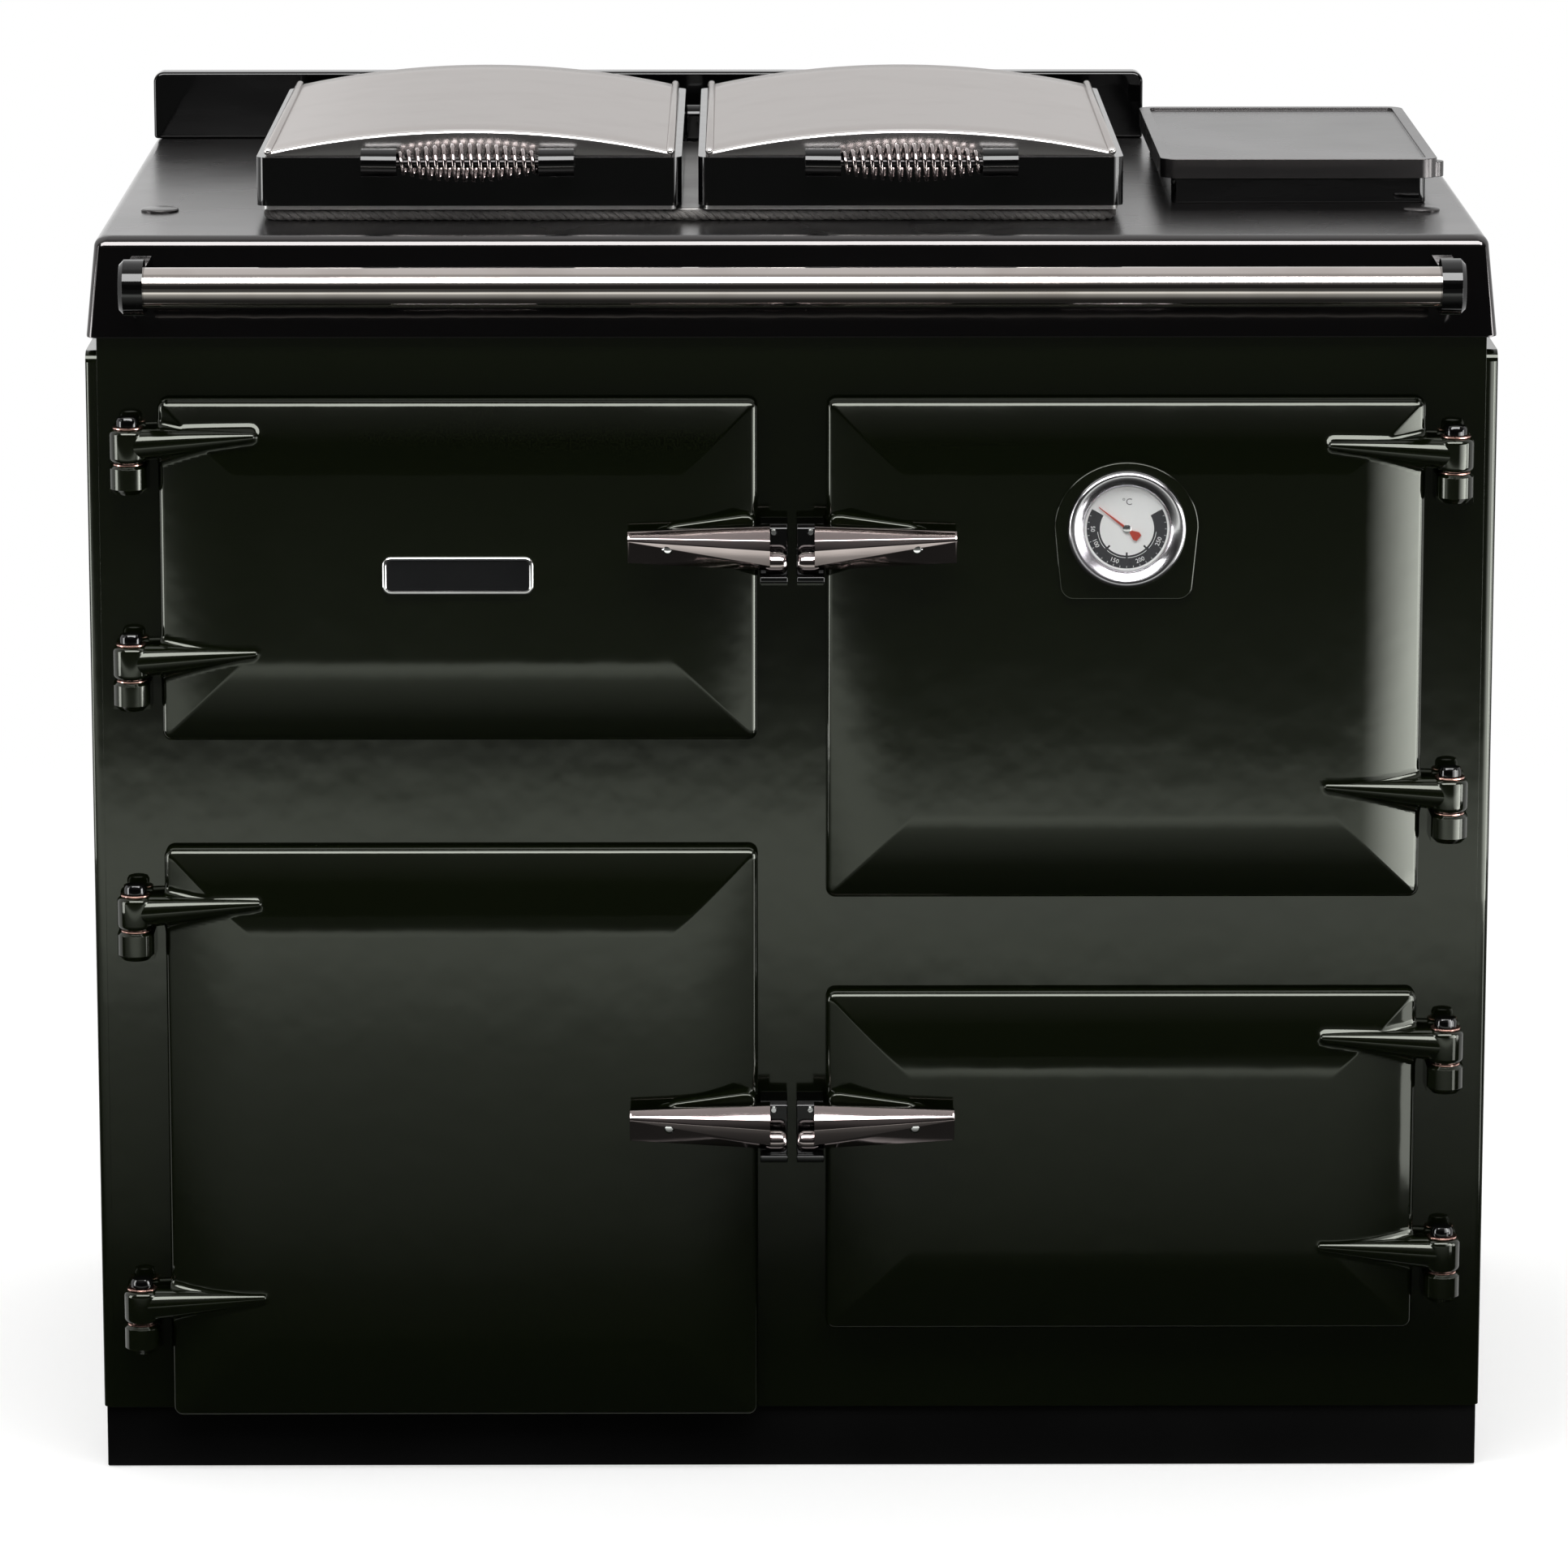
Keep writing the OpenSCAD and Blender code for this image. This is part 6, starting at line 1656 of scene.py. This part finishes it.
@dataclass
class Studio:
    """Pale floor, white background, soft lamps and the camera."""

    eye: Point = (-0.034, -5.49625, 1.615)
    pitch: float = 11.09
    yaw: float = 0.313
    lens: float = 172.66
    shift: float = -0.08
    floor_half: float = 30.0
    floor_z: float = -0.0005
    floor_grey: float = 0.62
    floor_glow: float = 0.52
    floor_fade: tuple[float, float] = (1.0, 2.4)
    room_start: tuple[float, float] = (-0.25, -0.31)
    room_depth: float = 4.0
    room_stops: Section = ((0.0, 0.03), (0.3, 0.03), (0.5, 0.08), (0.75, 0.28), (1.0, 0.42), (1.3, 0.6),
                           (1.6, 1.3), (1.9, 1.6), (2.15, 1.5), (2.6, 0.32), (3.0, 0.16), (4.0, 0.10))
    lamps: tuple[Lamp, ...] = (
        Lamp("overhead_box", (0.0, -1.15, 2.55), (0.0, -0.2, 0.8), (2.6, 0.7), 7.0, True, False),
        Lamp("rear_box", (0.0, 1.9, 2.0), (0.0, 0.2, 0.9), (2.4, 0.8), 1.6, True, False),
        Lamp("left_strip", (-2.0, -0.9, 0.9), (-0.4, -0.2, 0.6), (0.35, 1.4), 2.2),
        Lamp("upper_card", (0.0, -1.36, 2.06), (0.0, -0.3, 0.7), (3.0, 0.90), 13.0, False),
        Lamp("right_card", (0.855, -0.785, 0.56), (0.42, -0.3, 0.56), (0.56, 0.58), 17.0, False, True, True),
        Lamp("rear_card", (-0.85, 1.7, 1.45), (-0.5, 0.3, 0.9), (1.0, 1.2), 1.0, False, True, True),
        Lamp("left_side_card", (-2.3, -0.78, 0.62), (-0.4, -0.3, 0.62), (0.6, 1.2), 8.0, False),
        Lamp("right_side_card", (2.3, -0.78, 0.62), (0.4, -0.3, 0.62), (0.6, 1.2), 8.0, False),
        Lamp("right_low_card", (1.0, -0.73, 0.15), (0.42, -0.3, 0.15), (0.2, 0.25), 4.0, False),
    )

    def camera(self) -> None:
        """Sets the camera where the photograph was taken."""
        data = bpy.data.cameras.new("camera")
        data.lens, data.sensor_width, data.shift_y = self.lens, 36.0, self.shift
        data.clip_end = 200.0
        camera = in_scene("camera", data)
        camera.location = self.eye
        camera.rotation_euler = (math.radians(90 - self.pitch), 0.0, math.radians(-self.yaw))
        bpy.context.scene.camera = camera

    @staticmethod
    def seen(w: Wiring) -> Socket:
        """1 for rays from the camera and from gloss or glass, which see the white background."""
        path = w.add("ShaderNodeLightPath")
        either = w.math("MAXIMUM", path.outputs["Is Glossy Ray"], path.outputs["Is Transmission Ray"])
        return w.math("MAXIMUM", path.outputs["Is Camera Ray"], either)

    def room_level(self, w: Wiring, where: Socket) -> Socket:
        """Brightness of the floor in front of the cooker, as the gloss of its front mirrors it.

        Args:
            w: Wiring of the floor's material.
            where: Object coordinates.

        Returns:
            A level that follows the distance from the doors.
        """
        ahead = w.math("MULTIPLY_ADD", w.axis(where, 1), -1.0, self.room_start[1])
        share = w.math("DIVIDE", ahead, self.room_depth)
        ramp = w.add("ShaderNodeValToRGB", {0: share})
        stops = ramp.color_ramp.elements
        while len(stops) < len(self.room_stops):
            stops.new(1.0)
        for stop, (distance, level) in zip(stops, self.room_stops):
            stop.position = distance / self.room_depth
            stop.color = (level / 2, level / 2, level / 2, 1.0)
        return w.math("MULTIPLY", ramp.outputs[0], 2.0)

    def floor(self) -> None:
        """Lays the floor, whose far part fades to plain white."""
        half = self.floor_half
        mesh = bpy.data.meshes.new("floor")
        corners = [(x * half, y * half, self.floor_z) for x, y in ((-1, -1), (1, -1), (1, 1), (-1, 1))]
        mesh.from_pydata(corners, [], [(0, 1, 2, 3)])
        floor = in_scene("floor", mesh)
        material = bpy.data.materials.new("pale_floor")
        w = fresh_wiring(material)
        diffuse = w.add("ShaderNodeBsdfDiffuse", {"Color": (*[self.floor_grey] * 3, 1.0)})
        glow = w.add("ShaderNodeEmission", {"Color": (1.0, 1.0, 1.0, 1.0), "Strength": self.floor_glow})
        both = w.add("ShaderNodeAddShader", {0: diffuse.outputs[0], 1: glow.outputs[0]})
        white = w.add("ShaderNodeEmission", {"Color": (1.0, 1.0, 1.0, 1.0), "Strength": 1.0})
        where = w.add("ShaderNodeTexCoord").outputs["Object"]
        away = w.add("ShaderNodeVectorMath", {0: where}, operation="LENGTH").outputs["Value"]
        far = w.span(away, *self.floor_fade)
        near_far = w.add("ShaderNodeMixShader", {0: far, 1: both.outputs[0], 2: white.outputs[0]})
        room = w.add("ShaderNodeEmission", {"Color": (0.97, 1.0, 0.95, 1.0),
                                            "Strength": self.room_level(w, where)})
        front = w.span(w.axis(where, 1), *self.room_start)
        mirror = w.math("MULTIPLY", w.add("ShaderNodeLightPath").outputs["Is Glossy Ray"], front)
        seen = w.add("ShaderNodeMixShader", {0: mirror, 1: near_far.outputs[0], 2: room.outputs[0]})
        final = w.add("ShaderNodeMixShader", {0: self.seen(w), 1: diffuse.outputs[0], 2: seen.outputs[0]})
        w.link(final.outputs[0], w.add("ShaderNodeOutputMaterial").inputs["Surface"])
        mesh.materials.append(material)

    def sky(self) -> None:
        """White background behind the cooker and a dim room in front of it."""
        world = bpy.data.worlds.new("studio")
        w = fresh_wiring(world)
        aim = w.add("ShaderNodeSeparateXYZ", {0: w.add("ShaderNodeTexCoord").outputs["Generated"]})
        behind = w.add("ShaderNodeMapRange", {0: aim.outputs[1], 1: -0.25, 2: 0.15},
                       interpolation_type="SMOOTHSTEP")
        above = w.span(aim.outputs[2], 0.29, 0.97, 0.03, 0.55)
        level = w.math("MAXIMUM", w.math("MULTIPLY", behind.outputs[0], 0.95), above)
        room = w.add("ShaderNodeBackground", {"Color": (1.0, 0.985, 0.97, 1.0), "Strength": level})
        white = w.add("ShaderNodeBackground", {"Color": (1.0, 1.0, 1.0, 1.0), "Strength": 1.0})
        path = w.add("ShaderNodeLightPath")
        mirror = w.math("MAXIMUM", path.outputs["Is Glossy Ray"], path.outputs["Is Transmission Ray"])
        mirrored_white = w.math("MULTIPLY", mirror, behind.outputs[0])
        shown = w.math("MAXIMUM", path.outputs["Is Camera Ray"], mirrored_white)
        mix = w.add("ShaderNodeMixShader", {0: shown, 1: room.outputs[0], 2: white.outputs[0]})
        w.link(mix.outputs[0], w.add("ShaderNodeOutputWorld").inputs["Surface"])
        bpy.context.scene.world = world

    def build(self) -> None:
        """Sets up the whole studio."""
        bpy.context.scene.view_settings.view_transform = "Standard"
        self.camera()
        self.sky()
        self.floor()
        for lamp in self.lamps:
            lamp.build()


# ---------- The cooker ----------


@dataclass
class RangeCooker:
    """The whole cooker: its sub-assemblies in building order."""

    doors: tuple[Door, ...] = (
        Door("upper_left", Side.LEFT, 536.8, 244.2, (594.4, 748.8), 681.0),
        Door("lower_left", Side.LEFT, 41.4, 417.9, (125.2, 413.8), 264.5),
        Door("upper_right", Side.RIGHT, 422.8, 358.2, (498.0, 742.0), 681.0, dial_z=692.0),
        Door("lower_right", Side.RIGHT, 105.6, 249.0, (162.2, 315.6), 264.5),
    )
    lids: tuple[Lid, ...] = (Lid("left_lid", -228.3), Lid("right_lid", 84.9))
    knobs: tuple[Knob, ...] = (Knob("oven_knob", -165.0), Knob("boiler_knob", -303.0))

    def build(self, shop: Workshop) -> None:
        """Builds every sub-assembly with the workshop."""
        Cabinet().build(shop)
        for door in self.doors:
            door.build(shop)
        FrontFurniture(self.doors).build(shop)
        Thermometer().build(shop)
        NamePlate().build(shop)
        for lid in self.lids:
            lid.build(shop)
        HotplateSeal().build(shop)
        for knob in self.knobs:
            knob.build(shop)


def main() -> None:
    """Loads the frame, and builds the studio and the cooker."""
    logging.basicConfig(level=logging.INFO, format="%(name)s: %(message)s")
    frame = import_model()
    Studio().build()
    shop = Workshop(Effects(), Tools(), frame["nodes"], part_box("front_plate")[0].y)
    RangeCooker().build(shop)
    bare = sorted(set(frame["nodes"]) - shop.dressed)
    LOG.info("%d pieces made; nodes left bare: %s", shop.made, bare or "none")


if __name__ == "__main__":
    main()
